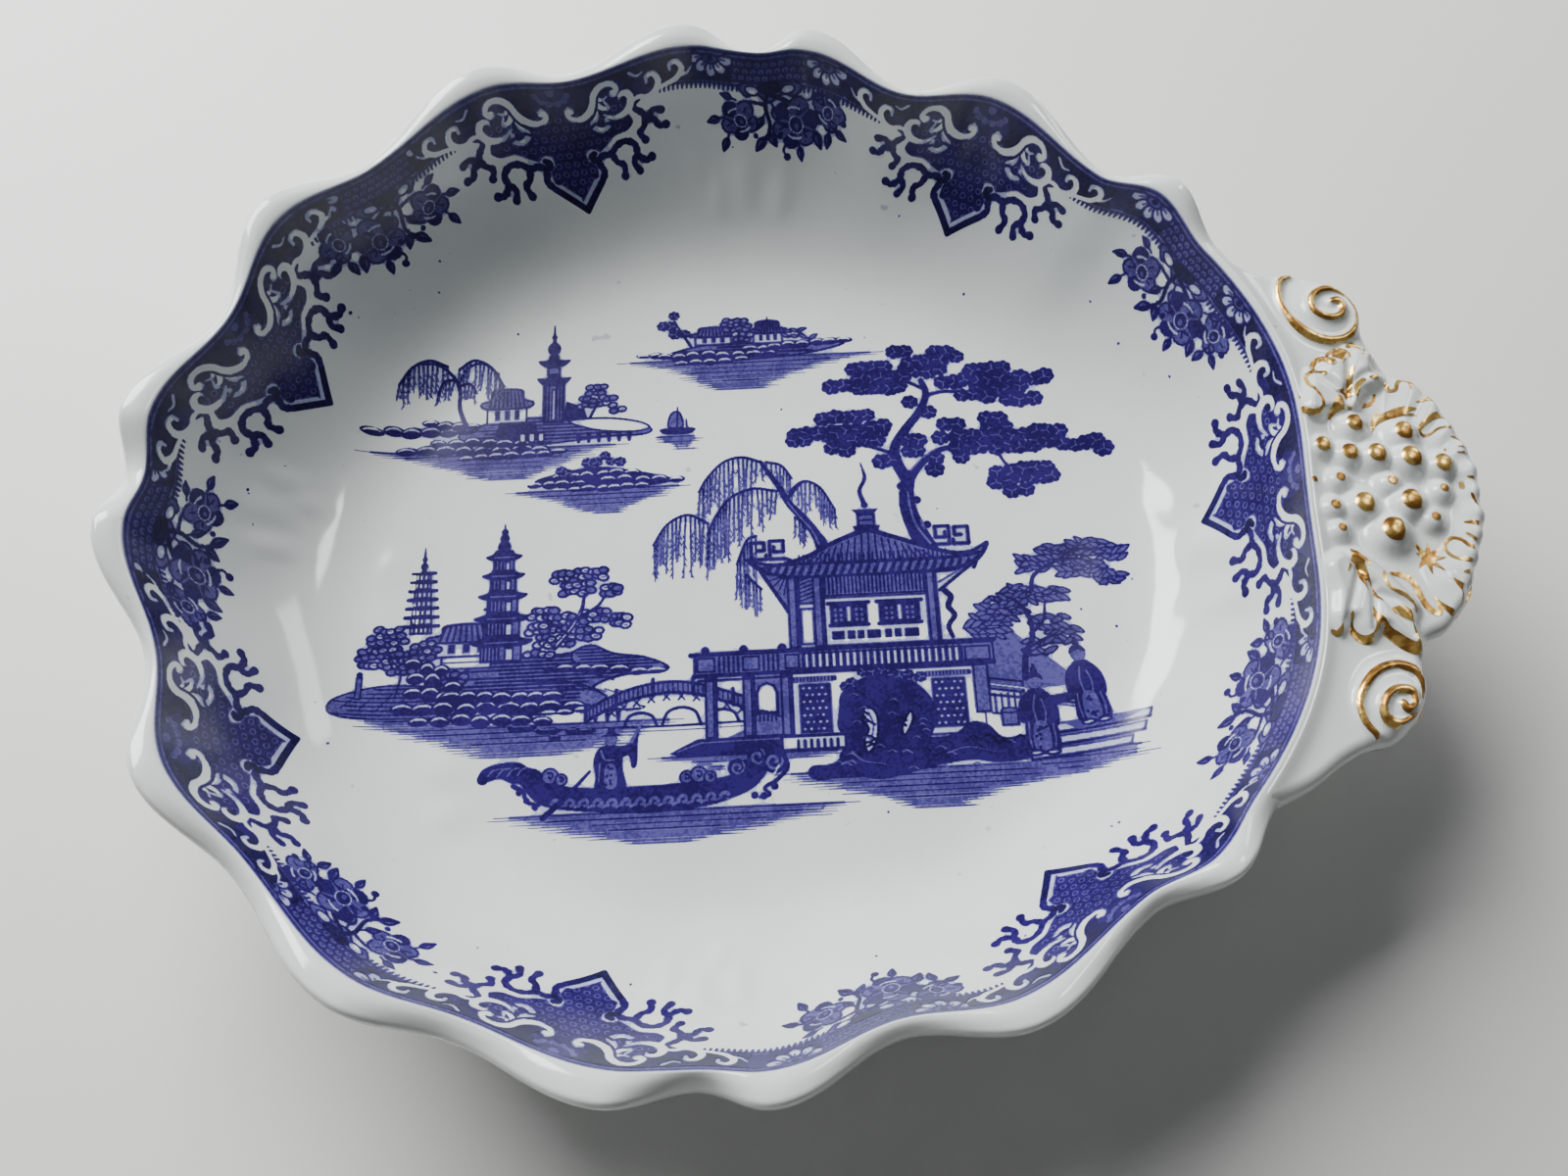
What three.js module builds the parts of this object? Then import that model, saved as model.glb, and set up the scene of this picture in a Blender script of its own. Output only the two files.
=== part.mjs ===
// A shell-shaped serving dish of glazed earthenware with one moulded handle.
//
// The dish is an oval bowl with fourteen lobes round its rim, a foot ring
// under it and a bracket handle at the +X end. The handle carries two scrolls,
// three vine leaves and a bunch of grapes.
//
// Millimetres, +Z up, the foot ring stands on z = 0. All plan shapes are drawn
// about the middle of the bowl, and the whole dish is then moved so that its
// origin is at the middle of its outer box.

import * as THREE from 'three';

// ---------------------------------------------------------------- dimensions

// The bowl in plan: the inner edge of the lip, as a mean radius and its swell
const MEAN_RADIUS = 104;
const OVAL_SWELL = 5;
const EGG_SWELL = 1.2;
const HANDLE_FLAT = 4;
const HANDLE_FLAT_DEG = 12;

// The lobes of one long side, from the handle to the far end: where each dip
// and crest is, in degrees from the handle, and how far the lip stands out
// there beyond its mean, in mm. The other long side mirrors them.
const LOBES = [
  [0, -1.2],
  [30.5, -0.6],
  [38, 1.0],
  [45, -3.3],
  [60, 2.0],
  [71, -3.4],
  [83.5, 3.1],
  [90, 0.3],
  [98, 3.4],
  [112, -0.4],
  [122, 2.6],
  [137.5, -1.4],
  [149, 2.4],
  [161, -3.1],
  [174, 3.3],
  [180, 2.2],
];

// The lip
const LIP_WIDTH = 4.2;
const LIP_ROUND = 2.4;
const EDGE_SHARE = 0.6;
const RIM_DIP_Z = 41;
const RIM_RISE = 6;
const EDGE_ABOVE_DIP = 2.5;
const EDGE_RISE = 3;
const OUTER_BELOW_DIP = 1.2;

// The bowl's wall and floor
const FLOOR_Z = 9.5;
const UNDERSIDE_Z = 4.5;
const WALL_RUN = 38;
const OUTER_RUN = 41;
const WALL_POWER = 2.93;
const WALL_TOP_Z = 45;
const OUTER_STANDOFF = 2.5;
const OUTER_DROP = 5;

// The foot ring
const FOOT_INSET = 41.5;
const FOOT_WIDTH = 5;
const TOUCH_GAP = 0.3;

// The handle
const PLATE_BOTTOM_Z = 37.5;
const PLATE_TOP_Z = 42.5;
const SCROLL_HEIGHT = 3.2;
const LEAF_HEIGHT = 2.4;
const LEAF_NOTCH = 0.2;
const BEVEL = 0.6;

// Smoothness of the round shapes
const ROUND_STEPS = 144;
const FOOT_STEPS = 96;

// ----------------------------------------------------------------- the glaze

function glaze(colour) {
  return new THREE.MeshStandardMaterial({ color: colour, roughness: 0.12, metalness: 0 });
}

const whiteGlaze = glaze(0xd9dcd6);
const printedGlaze = glaze(0xb9bfd6);
const giltGlaze = new THREE.MeshStandardMaterial({ color: 0xb98a3c, roughness: 0.3, metalness: 0.8 });

const dish = new THREE.Group();

function addPiece(name, geometry, material) {
  const mesh = new THREE.Mesh(geometry, material.clone());
  mesh.name = name;
  dish.add(mesh);
  return mesh;
}

// ------------------------------------------------------------- plan formulas

const toRadians = THREE.MathUtils.degToRad;

function ease(t) {
  return (1 - Math.cos(Math.PI * t)) / 2;
}

// Degrees from the handle, from 0 to 180, for any plan angle in radians
function degreesFromHandle(angle) {
  const turned = Math.abs(THREE.MathUtils.radToDeg(angle)) % 360;
  return turned > 180 ? 360 - turned : turned;
}

// The egg-shaped oval that the bowl is drawn on
function ovalRadius(angle) {
  return MEAN_RADIUS + OVAL_SWELL * Math.cos(2 * angle) + EGG_SWELL * Math.cos(3 * angle);
}

// The oval that the lip's lobes wave about, a little flattened at the handle
function rimRadius(angle) {
  const flat = HANDLE_FLAT * Math.exp(-((degreesFromHandle(angle) / HANDLE_FLAT_DEG) ** 2));
  return ovalRadius(angle) - flat;
}

// The lobe wave at an angle: how far out it stands, and 0 at a dip to 1 at a crest
function lobeWave(angle) {
  const degrees = degreesFromHandle(angle);
  let index = LOBES.findIndex(([at]) => at > degrees);
  if (index < 0) index = LOBES.length - 1;
  const [startDeg, startOut] = LOBES[index - 1];
  const [endDeg, endOut] = LOBES[index];
  const share = ease((degrees - startDeg) / (endDeg - startDeg));
  const out = startOut + (endOut - startOut) * share;
  const rise = index === 1 ? 0 : (index % 2 === 0 ? share : 1 - share);
  return { out, rise };
}

// ------------------------------------------------------------------ the bowl

// A closed body from a stack of closed plan curves. The first and last
// stations are single points on the axis.
function stackedBody(stations, steps) {
  const positions = [0, 0, stations[0]];
  const rings = stations.slice(1, -1);
  for (const station of rings) {
    for (let i = 0; i < steps; i += 1) {
      const angle = (i / steps) * 2 * Math.PI;
      const [radius, z] = station(angle);
      positions.push(radius * Math.cos(angle), radius * Math.sin(angle), z);
    }
  }
  positions.push(0, 0, stations[stations.length - 1]);
  const last = positions.length / 3 - 1;
  const indices = [];
  for (let i = 0; i < steps; i += 1) {
    const next = (i + 1) % steps;
    indices.push(0, 1 + i, 1 + next);
    for (let ring = 0; ring < rings.length - 1; ring += 1) {
      const near = 1 + ring * steps;
      const far = near + steps;
      indices.push(near + i, far + i, far + next);
      indices.push(near + i, far + next, near + next);
    }
    const rim = 1 + (rings.length - 1) * steps;
    indices.push(last, rim + next, rim + i);
  }
  const geometry = new THREE.BufferGeometry();
  geometry.setAttribute('position', new THREE.Float32BufferAttribute(positions, 3));
  geometry.setIndex(indices);
  geometry.computeVertexNormals();
  return geometry;
}

// The inner edge of the lip, where the wall begins
function lipEdge(angle) {
  const wave = lobeWave(angle);
  return {
    radius: rimRadius(angle) + EDGE_SHARE * wave.out,
    z: RIM_DIP_Z + EDGE_ABOVE_DIP + EDGE_RISE * wave.rise,
  };
}

// The outermost line of the lip
function lipOuter(angle) {
  const wave = lobeWave(angle);
  return {
    radius: rimRadius(angle) + LIP_WIDTH + wave.out,
    z: RIM_DIP_Z - OUTER_BELOW_DIP + RIM_RISE * wave.rise,
  };
}

// A ring of the wall, `inset` mm in from where that wall starts. It falls
// steeply at first and runs out level, and the lobes fade as it goes down.
function wallStation(inset, run, startOut, startDrop, endZ) {
  return (angle) => {
    const edge = lipEdge(angle);
    const left = 1 - inset / run;
    const fade = left ** 2;
    const oval = ovalRadius(angle);
    const radius = oval + fade * (edge.radius - oval) + startOut - inset;
    const startZ = WALL_TOP_Z + fade * (edge.z - WALL_TOP_Z) - startDrop;
    const z = endZ + (startZ - endZ) * left ** WALL_POWER;
    return [radius, z];
  };
}

// Points of the lip's rounded section, from its inner edge over to its underside
function lipStation(outShare, rise) {
  return (angle) => {
    const edge = lipEdge(angle);
    const outer = lipOuter(angle);
    const radius = edge.radius + (outer.radius - edge.radius) * outShare;
    const z = edge.z + (outer.z - edge.z) * outShare + rise;
    return [radius, z];
  };
}

// How far in each ring of the two walls lies; the last of each meets the flat
const INNER_INSETS = [WALL_RUN, 31, 24, 18, 12.5, 8, 4, 1.2];
const OUTER_INSETS = [4, 9, 15, 22, 30, OUTER_RUN];

const bowlStations = [
  FLOOR_Z,
  ...INNER_INSETS.map((inset) => wallStation(inset, WALL_RUN, 0, 0, FLOOR_Z)),
  lipStation(0, 0),
  lipStation(0.35, 0.75 * LIP_ROUND),
  lipStation(0.75, 0.8 * LIP_ROUND),
  lipStation(1, 0),
  lipStation(0.8, -LIP_ROUND),
  ...OUTER_INSETS.map((inset) => wallStation(inset, OUTER_RUN, OUTER_STANDOFF, OUTER_DROP, UNDERSIDE_Z)),
  UNDERSIDE_Z,
];

addPiece('dish_body', stackedBody(bowlStations, ROUND_STEPS), printedGlaze);

// ------------------------------------------------------------- the foot ring

function footRing() {
  const outline = new THREE.Shape();
  const hole = new THREE.Path();
  for (let i = 0; i <= FOOT_STEPS; i += 1) {
    const angle = (i / FOOT_STEPS) * 2 * Math.PI;
    const radius = ovalRadius(angle) - FOOT_INSET;
    const outer = [radius * Math.cos(angle), radius * Math.sin(angle)];
    const inner = outer.map((value) => value * (1 - FOOT_WIDTH / radius));
    if (i === 0) {
      outline.moveTo(...outer);
      hole.moveTo(...inner);
    } else if (i < FOOT_STEPS) {
      outline.lineTo(...outer);
      hole.lineTo(...inner);
    }
  }
  outline.holes.push(hole);
  return plainBody(outline, UNDERSIDE_Z - TOUCH_GAP);
}

addPiece('foot_ring', footRing(), whiteGlaze);

// ---------------------------------------------------------------- the handle

// An outline swept straight up, with sharp edges
function plainBody(shape, height) {
  return new THREE.ExtrudeGeometry(shape, { depth: height, bevelEnabled: false });
}

// An outline swept straight up, with its edges softened
function softBody(shape, height) {
  const geometry = new THREE.ExtrudeGeometry(shape, {
    depth: height - 2 * BEVEL,
    bevelEnabled: true,
    bevelThickness: BEVEL,
    bevelSize: BEVEL,
    bevelOffset: -BEVEL,
    bevelSegments: 1,
  });
  return geometry.translate(0, 0, BEVEL);
}

// Where the handle starts on the bowl, in degrees either side of +X
const HANDLE_HALF_ANGLE = 27.5;

// Plan points of the plate's free edge on the +Y side, from the bowl to its tip:
// past the scroll, in to the neck and out again under the leaves
const PLATE_EDGE = [
  [104, 49.5],
  [111, 48],
  [117, 44],
  [119.5, 38],
  [119.5, 33],
  [122.5, 27.5],
  [128, 24.5],
  [132, 18],
  [134.5, 9],
  [135.2, 0],
];

function handlePlate() {
  const corners = [];
  const arcSteps = 16;
  for (let i = 0; i <= arcSteps; i += 1) {
    const angle = toRadians(HANDLE_HALF_ANGLE * (2 * (i / arcSteps) - 1));
    const radius = lipOuter(angle).radius + TOUCH_GAP;
    corners.push([radius * Math.cos(angle), radius * Math.sin(angle)]);
  }
  const farEdge = PLATE_EDGE.map(([x, y]) => [x, y]);
  const nearEdge = PLATE_EDGE.slice(0, -1).map(([x, y]) => [x, -y]).reverse();
  const outline = [...corners, ...farEdge, ...nearEdge].map(([x, y]) => new THREE.Vector2(x, y));
  const shape = new THREE.Shape(outline);
  return plainBody(shape, PLATE_TOP_Z - PLATE_BOTTOM_Z).translate(0, 0, PLATE_BOTTOM_Z);
}

addPiece('handle_plate', handlePlate(), whiteGlaze);

// A ribbon wound inwards: the moulded volute at each side of the handle
const SCROLL_RADIUS = 6.6;
const SCROLL_BAND = 2.2;
const SCROLL_TURNS = 1.5;
const SCROLL_PITCH = 3.1;
const SCROLL_STEPS = 30;

function scrollShape() {
  const outer = [];
  const inner = [];
  for (let i = 0; i <= SCROLL_STEPS; i += 1) {
    const turns = (i / SCROLL_STEPS) * SCROLL_TURNS;
    const angle = turns * 2 * Math.PI;
    const radius = SCROLL_RADIUS - SCROLL_PITCH * turns;
    const band = SCROLL_BAND * (1 - 0.3 * (i / SCROLL_STEPS));
    outer.push(new THREE.Vector2(radius * Math.cos(angle), radius * Math.sin(angle)));
    inner.push(new THREE.Vector2((radius - band) * Math.cos(angle), (radius - band) * Math.sin(angle)));
  }
  return new THREE.Shape([...outer, ...inner.reverse()]);
}

const SCROLLS = [
  { name: 'scroll_upper', x: 112.8, y: 40.6, start: 150, mirror: 1 },
  { name: 'scroll_lower', x: 115, y: -37.2, start: 210, mirror: -1 },
];

for (const { name, x, y, start, mirror } of SCROLLS) {
  const geometry = plainBody(scrollShape(), SCROLL_HEIGHT);
  if (mirror < 0) geometry.rotateX(Math.PI).translate(0, 0, SCROLL_HEIGHT);
  const mesh = addPiece(name, geometry, giltGlaze);
  mesh.position.set(x, y, PLATE_TOP_Z + TOUCH_GAP);
  mesh.rotation.z = toRadians(start);
}

// A vine leaf with pointed lobes round its edge, wider than it is deep
function leafShape(length, width, lobes) {
  const steps = lobes * 6;
  const points = [];
  for (let i = 0; i < steps; i += 1) {
    const angle = (i / steps) * 2 * Math.PI;
    const cut = 1 - LEAF_NOTCH * Math.abs(Math.sin((lobes * angle) / 2));
    points.push(new THREE.Vector2((length / 2) * cut * Math.cos(angle), (width / 2) * cut * Math.sin(angle)));
  }
  return new THREE.Shape(points);
}

const LEAVES = [
  { name: 'leaf_upper', x: 114.4, y: 26.6, turn: 25, length: 14, width: 11, lobes: 7 },
  { name: 'leaf_lower', x: 115, y: -19.6, turn: -30, length: 16, width: 13, lobes: 9 },
];

for (const { name, x, y, turn, length, width, lobes } of LEAVES) {
  const mesh = addPiece(name, softBody(leafShape(length, width, lobes), LEAF_HEIGHT), whiteGlaze);
  mesh.position.set(x, y, PLATE_TOP_Z + TOUCH_GAP);
  mesh.rotation.z = toRadians(turn);
}

// The largest leaf wraps the tip of the handle as a crescent with a toothed edge
const TIP_LEAF = { x: 118.5, y: 1, outer: 20, inner: 15, from: -68, to: 78, teeth: 12, tooth: 1.4 };

function tipLeafShape() {
  const { x, y, outer, inner, from, to, teeth, tooth } = TIP_LEAF;
  const steps = teeth * 4;
  const edge = [];
  const root = [];
  for (let i = 0; i <= steps; i += 1) {
    const share = i / steps;
    const angle = toRadians(from + (to - from) * share);
    const shorten = 4.5 * (2 * share - 1) ** 4;
    const out = outer - shorten - tooth * Math.abs(Math.sin(Math.PI * teeth * share));
    edge.push(new THREE.Vector2(x + out * Math.cos(angle), y + 1.2 * out * Math.sin(angle)));
    if (i % 4 === 0) {
      const radius = inner;
      root.push(new THREE.Vector2(x + radius * Math.cos(angle), y + 1.2 * radius * Math.sin(angle)));
    }
  }
  return new THREE.Shape([...edge, ...root.reverse()]);
}

const tipLeaf = addPiece('leaf_tip', plainBody(tipLeafShape(), LEAF_HEIGHT), whiteGlaze);
tipLeaf.position.z = PLATE_TOP_Z + TOUCH_GAP;

// The bunch of grapes: plan place and radius of each berry
const GRAPES = [
  [115.2, 15.6, 1.7],
  [123.8, 13.8, 1.9],
  [109.6, 11.4, 1.6],
  [114.0, 10.0, 1.7],
  [118.8, 9.6, 1.9],
  [124.6, 8.8, 2.1],
  [129.6, 7.6, 1.8],
  [112.0, 4.6, 1.4],
  [120.2, 4.2, 1.4],
  [128.6, 2.6, 1.3],
  [110.6, -1.0, 1.5],
  [115.2, -0.6, 2.0],
  [123.4, 0.0, 2.1],
  [111.2, -5.6, 1.4],
  [119.4, -5.8, 2.4],
  [127.0, -3.4, 1.3],
];

for (const [index, [x, y, radius]] of GRAPES.entries()) {
  const name = `grape_${String(index + 1).padStart(2, '0')}`;
  const mesh = addPiece(name, new THREE.SphereGeometry(radius, 10, 7), giltGlaze);
  mesh.position.set(x, y, PLATE_TOP_Z + TOUCH_GAP + radius);
}

// ------------------------------------------------------------------ the dish

// The pieces are drawn about the bowl's middle; this moves the origin to the
// middle of the dish's whole length, handle included
const CENTRE_SHIFT = -12.2;
dish.position.x = CENTRE_SHIFT;

const part = new THREE.Group();
part.add(dish);

export default part;
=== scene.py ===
"""A shell-shaped blue and white serving dish with a gilded leaf and grape handle.

Plan formulas repeat those of the CAD part, in millimetres about the middle of
the bowl, and every mesh is turned into metres in the frame's own axes at the end.
"""

import math

import bpy
import numpy as np
from mathutils import Matrix, Vector


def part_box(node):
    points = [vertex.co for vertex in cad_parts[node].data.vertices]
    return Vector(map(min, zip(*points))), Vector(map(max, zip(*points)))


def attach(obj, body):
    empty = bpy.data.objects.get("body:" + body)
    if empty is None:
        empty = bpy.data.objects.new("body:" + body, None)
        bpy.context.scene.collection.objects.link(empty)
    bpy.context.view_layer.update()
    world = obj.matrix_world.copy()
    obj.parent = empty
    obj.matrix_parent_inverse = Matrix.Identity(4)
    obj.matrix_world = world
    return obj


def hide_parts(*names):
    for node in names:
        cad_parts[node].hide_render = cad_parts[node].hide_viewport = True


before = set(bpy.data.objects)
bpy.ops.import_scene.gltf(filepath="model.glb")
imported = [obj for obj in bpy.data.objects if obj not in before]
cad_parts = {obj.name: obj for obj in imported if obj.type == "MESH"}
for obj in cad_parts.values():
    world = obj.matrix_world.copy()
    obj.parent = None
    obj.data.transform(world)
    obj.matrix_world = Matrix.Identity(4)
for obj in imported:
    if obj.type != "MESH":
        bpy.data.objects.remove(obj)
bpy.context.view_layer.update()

MM = 0.001
BODY = "root"

# ------------------------------------------------------------------ the plan

MEAN_RADIUS = 104.0
OVAL_SWELL = 5.0
EGG_SWELL = 1.2
HANDLE_FLAT = 4.0
HANDLE_FLAT_DEG = 12.0

# Dips and crests of one long side: degrees from the handle, mm out of the mean
LOBES = [
    (0, -1.2), (30.5, -0.6), (38, 1.0), (45, -3.3), (60, 2.0), (71, -3.4),
    (83.5, 3.1), (90, 0.3), (98, 3.4), (112, -0.4), (122, 2.6), (137.5, -1.4),
    (149, 2.4), (161, -3.1), (174, 3.3), (180, 2.2),
]

LIP_WIDTH = 4.2
EDGE_SHARE = 0.6
RIM_DIP_Z = 41.0
EDGE_ABOVE_DIP = 2.5
EDGE_RISE = 3.0
OUTER_BELOW_DIP = 1.2
NOTCH_DEG = 90.3
NOTCH_WIDE = 4.6
NOTCH_FILL = 1.9
NOTCH_LIFT = 0.6
RIM_RISE = 6.0

FLOOR_Z = 9.5
UNDERSIDE_Z = 4.5
WALL_RUN = 38.0
OUTER_RUN = 41.0
WALL_POWER = 2.93
WALL_TOP_Z = 45.0
OUTER_STANDOFF = 2.5
OUTER_DROP = 5.0

# The innermost ring of the bowl's floor and underside lies this far in
INNERMOST = 60

FOOT_INSET = 41.5

# Where the mould's ribs press through the wall: degrees round the bowl, mm in from the
# lip, half-width in degrees, half-depth and height in mm
RIBS = [
    (91.5, 12.5, 2.2, 4.0, 1.3), (95.5, 15.0, 1.6, 3.2, 1.1), (86.0, 14.0, 1.8, 3.5, 1.0),
    (98.5, 11.0, 1.5, 2.6, 0.9),
    (178.0, 12.5, 2.2, 4.0, 1.3), (182.5, 14.0, 1.6, 3.5, 1.0), (173.5, 14.0, 1.6, 3.5, 1.1),
    (175.5, 18.0, 1.5, 2.6, 0.8),
    (268.5, 12.5, 2.2, 4.0, 1.3), (264.5, 14.0, 1.6, 3.5, 1.0), (273.0, 14.0, 1.6, 3.5, 1.1),
    (270.5, 18.0, 1.5, 2.6, 0.8),
    (358.5, 9.0, 3.2, 4.6, 1.6), (4.5, 7.0, 2.4, 4.0, 1.4), (-6.5, 10.0, 2.4, 5.0, 1.4),
    (1.0, 14.0, 2.4, 3.6, 1.2),
    (193.0, 33.0, 5.5, 4.2, 0.45), (184.0, 35.0, 4.0, 3.6, 0.35), (220.0, 32.0, 4.0, 4.2, 0.45),
    (226.0, 27.0, 3.0, 4.0, 0.4),
    (352.0, 19.0, 3.0, 3.0, 0.35), (8.0, 21.0, 3.4, 3.0, 0.35), (340.0, 17.0, 3.0, 3.2, 0.3),
]

# The bowl's middle along X in the frame, in mm: the egg shape moves the foot ring's
# own middle EGG_SWELL towards the handle
foot_low, foot_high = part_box("foot_ring")
CENTRE_X = (foot_low.x + foot_high.x) / 2 / MM - EGG_SWELL


def ease(t):
    return (1 - np.cos(np.pi * t)) / 2


def degrees_from_handle(angle):
    turned = np.abs(np.degrees(angle)) % 360
    return np.where(turned > 180, 360 - turned, turned)


def oval_radius(angle):
    return MEAN_RADIUS + OVAL_SWELL * np.cos(2 * angle) + EGG_SWELL * np.cos(3 * angle)


def rim_radius(angle):
    flat = HANDLE_FLAT * np.exp(-(degrees_from_handle(angle) / HANDLE_FLAT_DEG) ** 2)
    return oval_radius(angle) - flat


def lobe_wave(angle):
    """How far out the lip stands at an angle, and 0 at a dip to 1 at a crest."""
    degrees = degrees_from_handle(angle)
    turn = np.array([at for at, _ in LOBES], float)
    out = np.array([mm for _, mm in LOBES], float)
    high = 1.0 - np.arange(len(LOBES)) % 2
    high[0] = 0
    index = np.clip(np.searchsorted(turn, degrees, side="right") - 1, 0, len(turn) - 2)
    share = ease((degrees - turn[index]) / (turn[index + 1] - turn[index]))
    reach = out[index] + (out[index + 1] - out[index]) * share
    rise = high[index] + (high[index + 1] - high[index]) * share
    return reach, rise


def lip_edge(angle):
    out, rise = lobe_wave(angle)
    # the notch between the two middle lobes hardly reaches the lip's inner edge
    notch = np.exp(-((degrees_from_handle(angle) - NOTCH_DEG) / NOTCH_WIDE) ** 2)
    radius = rim_radius(angle) + EDGE_SHARE * (out + NOTCH_FILL * notch)
    return radius, RIM_DIP_Z + EDGE_ABOVE_DIP + EDGE_RISE * np.minimum(rise + NOTCH_LIFT * notch, 1)


def lip_outer(angle):
    out, rise = lobe_wave(angle)
    return rim_radius(angle) + LIP_WIDTH + out, RIM_DIP_Z - OUTER_BELOW_DIP + RIM_RISE * rise


def wall(angle, inset, run=WALL_RUN, out=0.0, drop=0.0, end_z=FLOOR_Z):
    """Radius and height of the bowl's wall, inset mm in from where it starts."""
    edge_radius, edge_z = lip_edge(angle)
    left = np.clip(1 - inset / run, 0, None)
    fade = left ** 2
    oval = oval_radius(angle)
    radius = oval + fade * (edge_radius - oval) + out - inset
    start_z = WALL_TOP_Z + fade * (edge_z - WALL_TOP_Z) - drop
    return radius, end_z + (start_z - end_z) * left ** WALL_POWER


def inner_wall(angle, inset):
    """The glazed inside of the bowl, as plan points and heights in mm."""
    radius, z = wall(angle, inset)
    return np.stack([radius * np.cos(angle), radius * np.sin(angle), z + relief(angle, inset)], -1)


def relief(angle, inset):
    """Soft swellings where the mould's ribs press through the wall."""
    total = np.zeros_like(angle + inset)
    for turn, depth, wide, deep, high in RIBS:
        away = (np.degrees(angle) - turn + 180) % 360 - 180
        total = total + high * np.exp(-(away / wide) ** 2 - ((inset - depth) / deep) ** 2)
    return total

# ------------------------------------------------------------- mesh building


def to_frame(points):
    """Plan millimetres to the frame's metres."""
    moved = np.asarray(points, float).reshape(-1, 3) + np.array([CENTRE_X, 0, 0])
    return moved * MM


def add_piece(name, mesh, material, replaces=()):
    """Put a finished mesh in the scene as a piece that rides on the dish."""
    mesh.materials.append(material)
    obj = bpy.data.objects.new(name, mesh)
    bpy.context.scene.collection.objects.link(obj)
    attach(obj, BODY)
    if replaces:
        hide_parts(*replaces)


def turned_piece(name, points, faces, material, replaces):
    """A piece from points in plan millimetres and faces as lists of corners."""
    mesh = bpy.data.meshes.new(name)
    mesh.from_pydata(to_frame(points).tolist(), [], [list(map(int, f)) for f in faces])
    mesh.validate()
    mesh.polygons.foreach_set("use_smooth", [True] * len(mesh.polygons))
    add_piece(name, mesh, material, replaces)


def patch_piece(name, points, loops, sizes, material, replaces=()):
    """A piece from points in plan millimetres and flat arrays of corners."""
    starts = np.concatenate([[0], np.cumsum(sizes)[:-1]])
    mesh = bpy.data.meshes.new(name)
    mesh.vertices.add(len(points))
    mesh.vertices.foreach_set("co", to_frame(points).astype(np.float32).ravel())
    mesh.loops.add(len(loops))
    mesh.loops.foreach_set("vertex_index", loops.astype(np.int32))
    mesh.polygons.add(len(sizes))
    mesh.polygons.foreach_set("loop_start", starts.astype(np.int32))
    mesh.polygons.foreach_set("use_smooth", np.ones(len(sizes), bool))
    mesh.update(calc_edges=True)
    add_piece(name, mesh, material, replaces)


def reversed_loops(loops, sizes):
    """The same polygons, wound the other way."""
    starts = np.concatenate([[0], np.cumsum(sizes)[:-1]])
    owner = np.repeat(np.arange(len(sizes)), sizes)
    place = np.arange(len(loops)) - starts[owner]
    return loops[starts[owner] + sizes[owner] - 1 - place]


def ring_faces(rings, steps):
    """Quads between stacked closed rings of points."""
    i = np.arange(steps)
    nxt = (i + 1) % steps
    blocks = []
    for ring in range(rings - 1):
        near = ring * steps
        far = near + steps
        blocks.append(np.stack([near + i, far + i, far + nxt, near + nxt], 1))
    return np.concatenate(blocks)


def stacked_rings(angles, stations, top, bottom):
    """Points and faces of a body of rings (radius, z), closed by a point at each end."""
    rows = [np.stack([r * np.cos(angles), r * np.sin(angles), z], 1) for r, z in stations]
    points = np.concatenate(rows)
    steps = len(angles)
    faces = ring_faces(len(rows), steps).tolist()
    i = np.arange(steps)
    nxt = (i + 1) % steps
    base = (len(rows) - 1) * steps
    middle = len(points)
    points = np.concatenate([points, [[0, 0, top], [0, 0, bottom]]])
    faces += np.stack([np.full(steps, middle), i, nxt], 1).tolist()
    faces += np.stack([np.full(steps, middle + 1), base + nxt, base + i], 1).tolist()
    return points, faces


def spline_stations(stations, per_span):
    """Catmull-Rom rings through a list of rings, per_span of them to each gap."""
    keys = [np.stack([r, z]) for r, z in stations]
    keys = [2 * keys[0] - keys[1]] + keys + [2 * keys[-1] - keys[-2]]
    rings = []
    for k in range(1, len(keys) - 2):
        a, b, c, d = keys[k - 1:k + 3]
        for t in np.arange(per_span) / per_span:
            bend = (2 * a - 5 * b + 4 * c - d) * t * t + (3 * b - a - 3 * c + d) * t ** 3
            rings.append(0.5 * ((2 * b) + (c - a) * t + bend))
    rings.append(keys[-2])
    return [(ring[0], ring[1]) for ring in rings]


# ------------------------------------------------------------- the materials


def new_material(name):
    material = bpy.data.materials.new(name)
    material.use_nodes = True
    tree = material.node_tree
    return material, tree.nodes, tree.links, tree.nodes["Principled BSDF"]


def noise(nodes, links, where, scale, detail, roughness=0.5):
    """A noise texture's value at a place."""
    node = nodes.new("ShaderNodeTexNoise")
    node.inputs["Scale"].default_value = scale
    node.inputs["Detail"].default_value = detail
    node.inputs["Roughness"].default_value = roughness
    links.new(where, node.inputs["Vector"])
    return node.outputs["Fac"]


def ramp(nodes, links, source, stops):
    """A colour that follows a value through stops of (value, colour)."""
    node = nodes.new("ShaderNodeValToRGB")
    elements = node.color_ramp.elements
    while len(elements) < len(stops):
        elements.new(0.5)
    for element, (place, colour) in zip(elements, stops):
        element.position = place
        element.color = (*colour, 1)
    links.new(source, node.inputs["Fac"])
    return node.outputs["Color"]


def mix_colour(nodes, links, factor, first, second):
    """A linked colour, turning into a fixed one as the factor rises."""
    node = nodes.new("ShaderNodeMix")
    node.data_type = "RGBA"
    links.new(factor, node.inputs["Factor"])
    links.new(first, node.inputs[6])
    node.inputs[7].default_value = (*second, 1)
    return node.outputs[2]


def bump(nodes, links, height, distance, strength, shader):
    node = nodes.new("ShaderNodeBump")
    node.inputs["Distance"].default_value = distance
    node.inputs["Strength"].default_value = strength
    links.new(height, node.inputs["Height"])
    links.new(node.outputs["Normal"], shader.inputs["Normal"])


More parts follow.
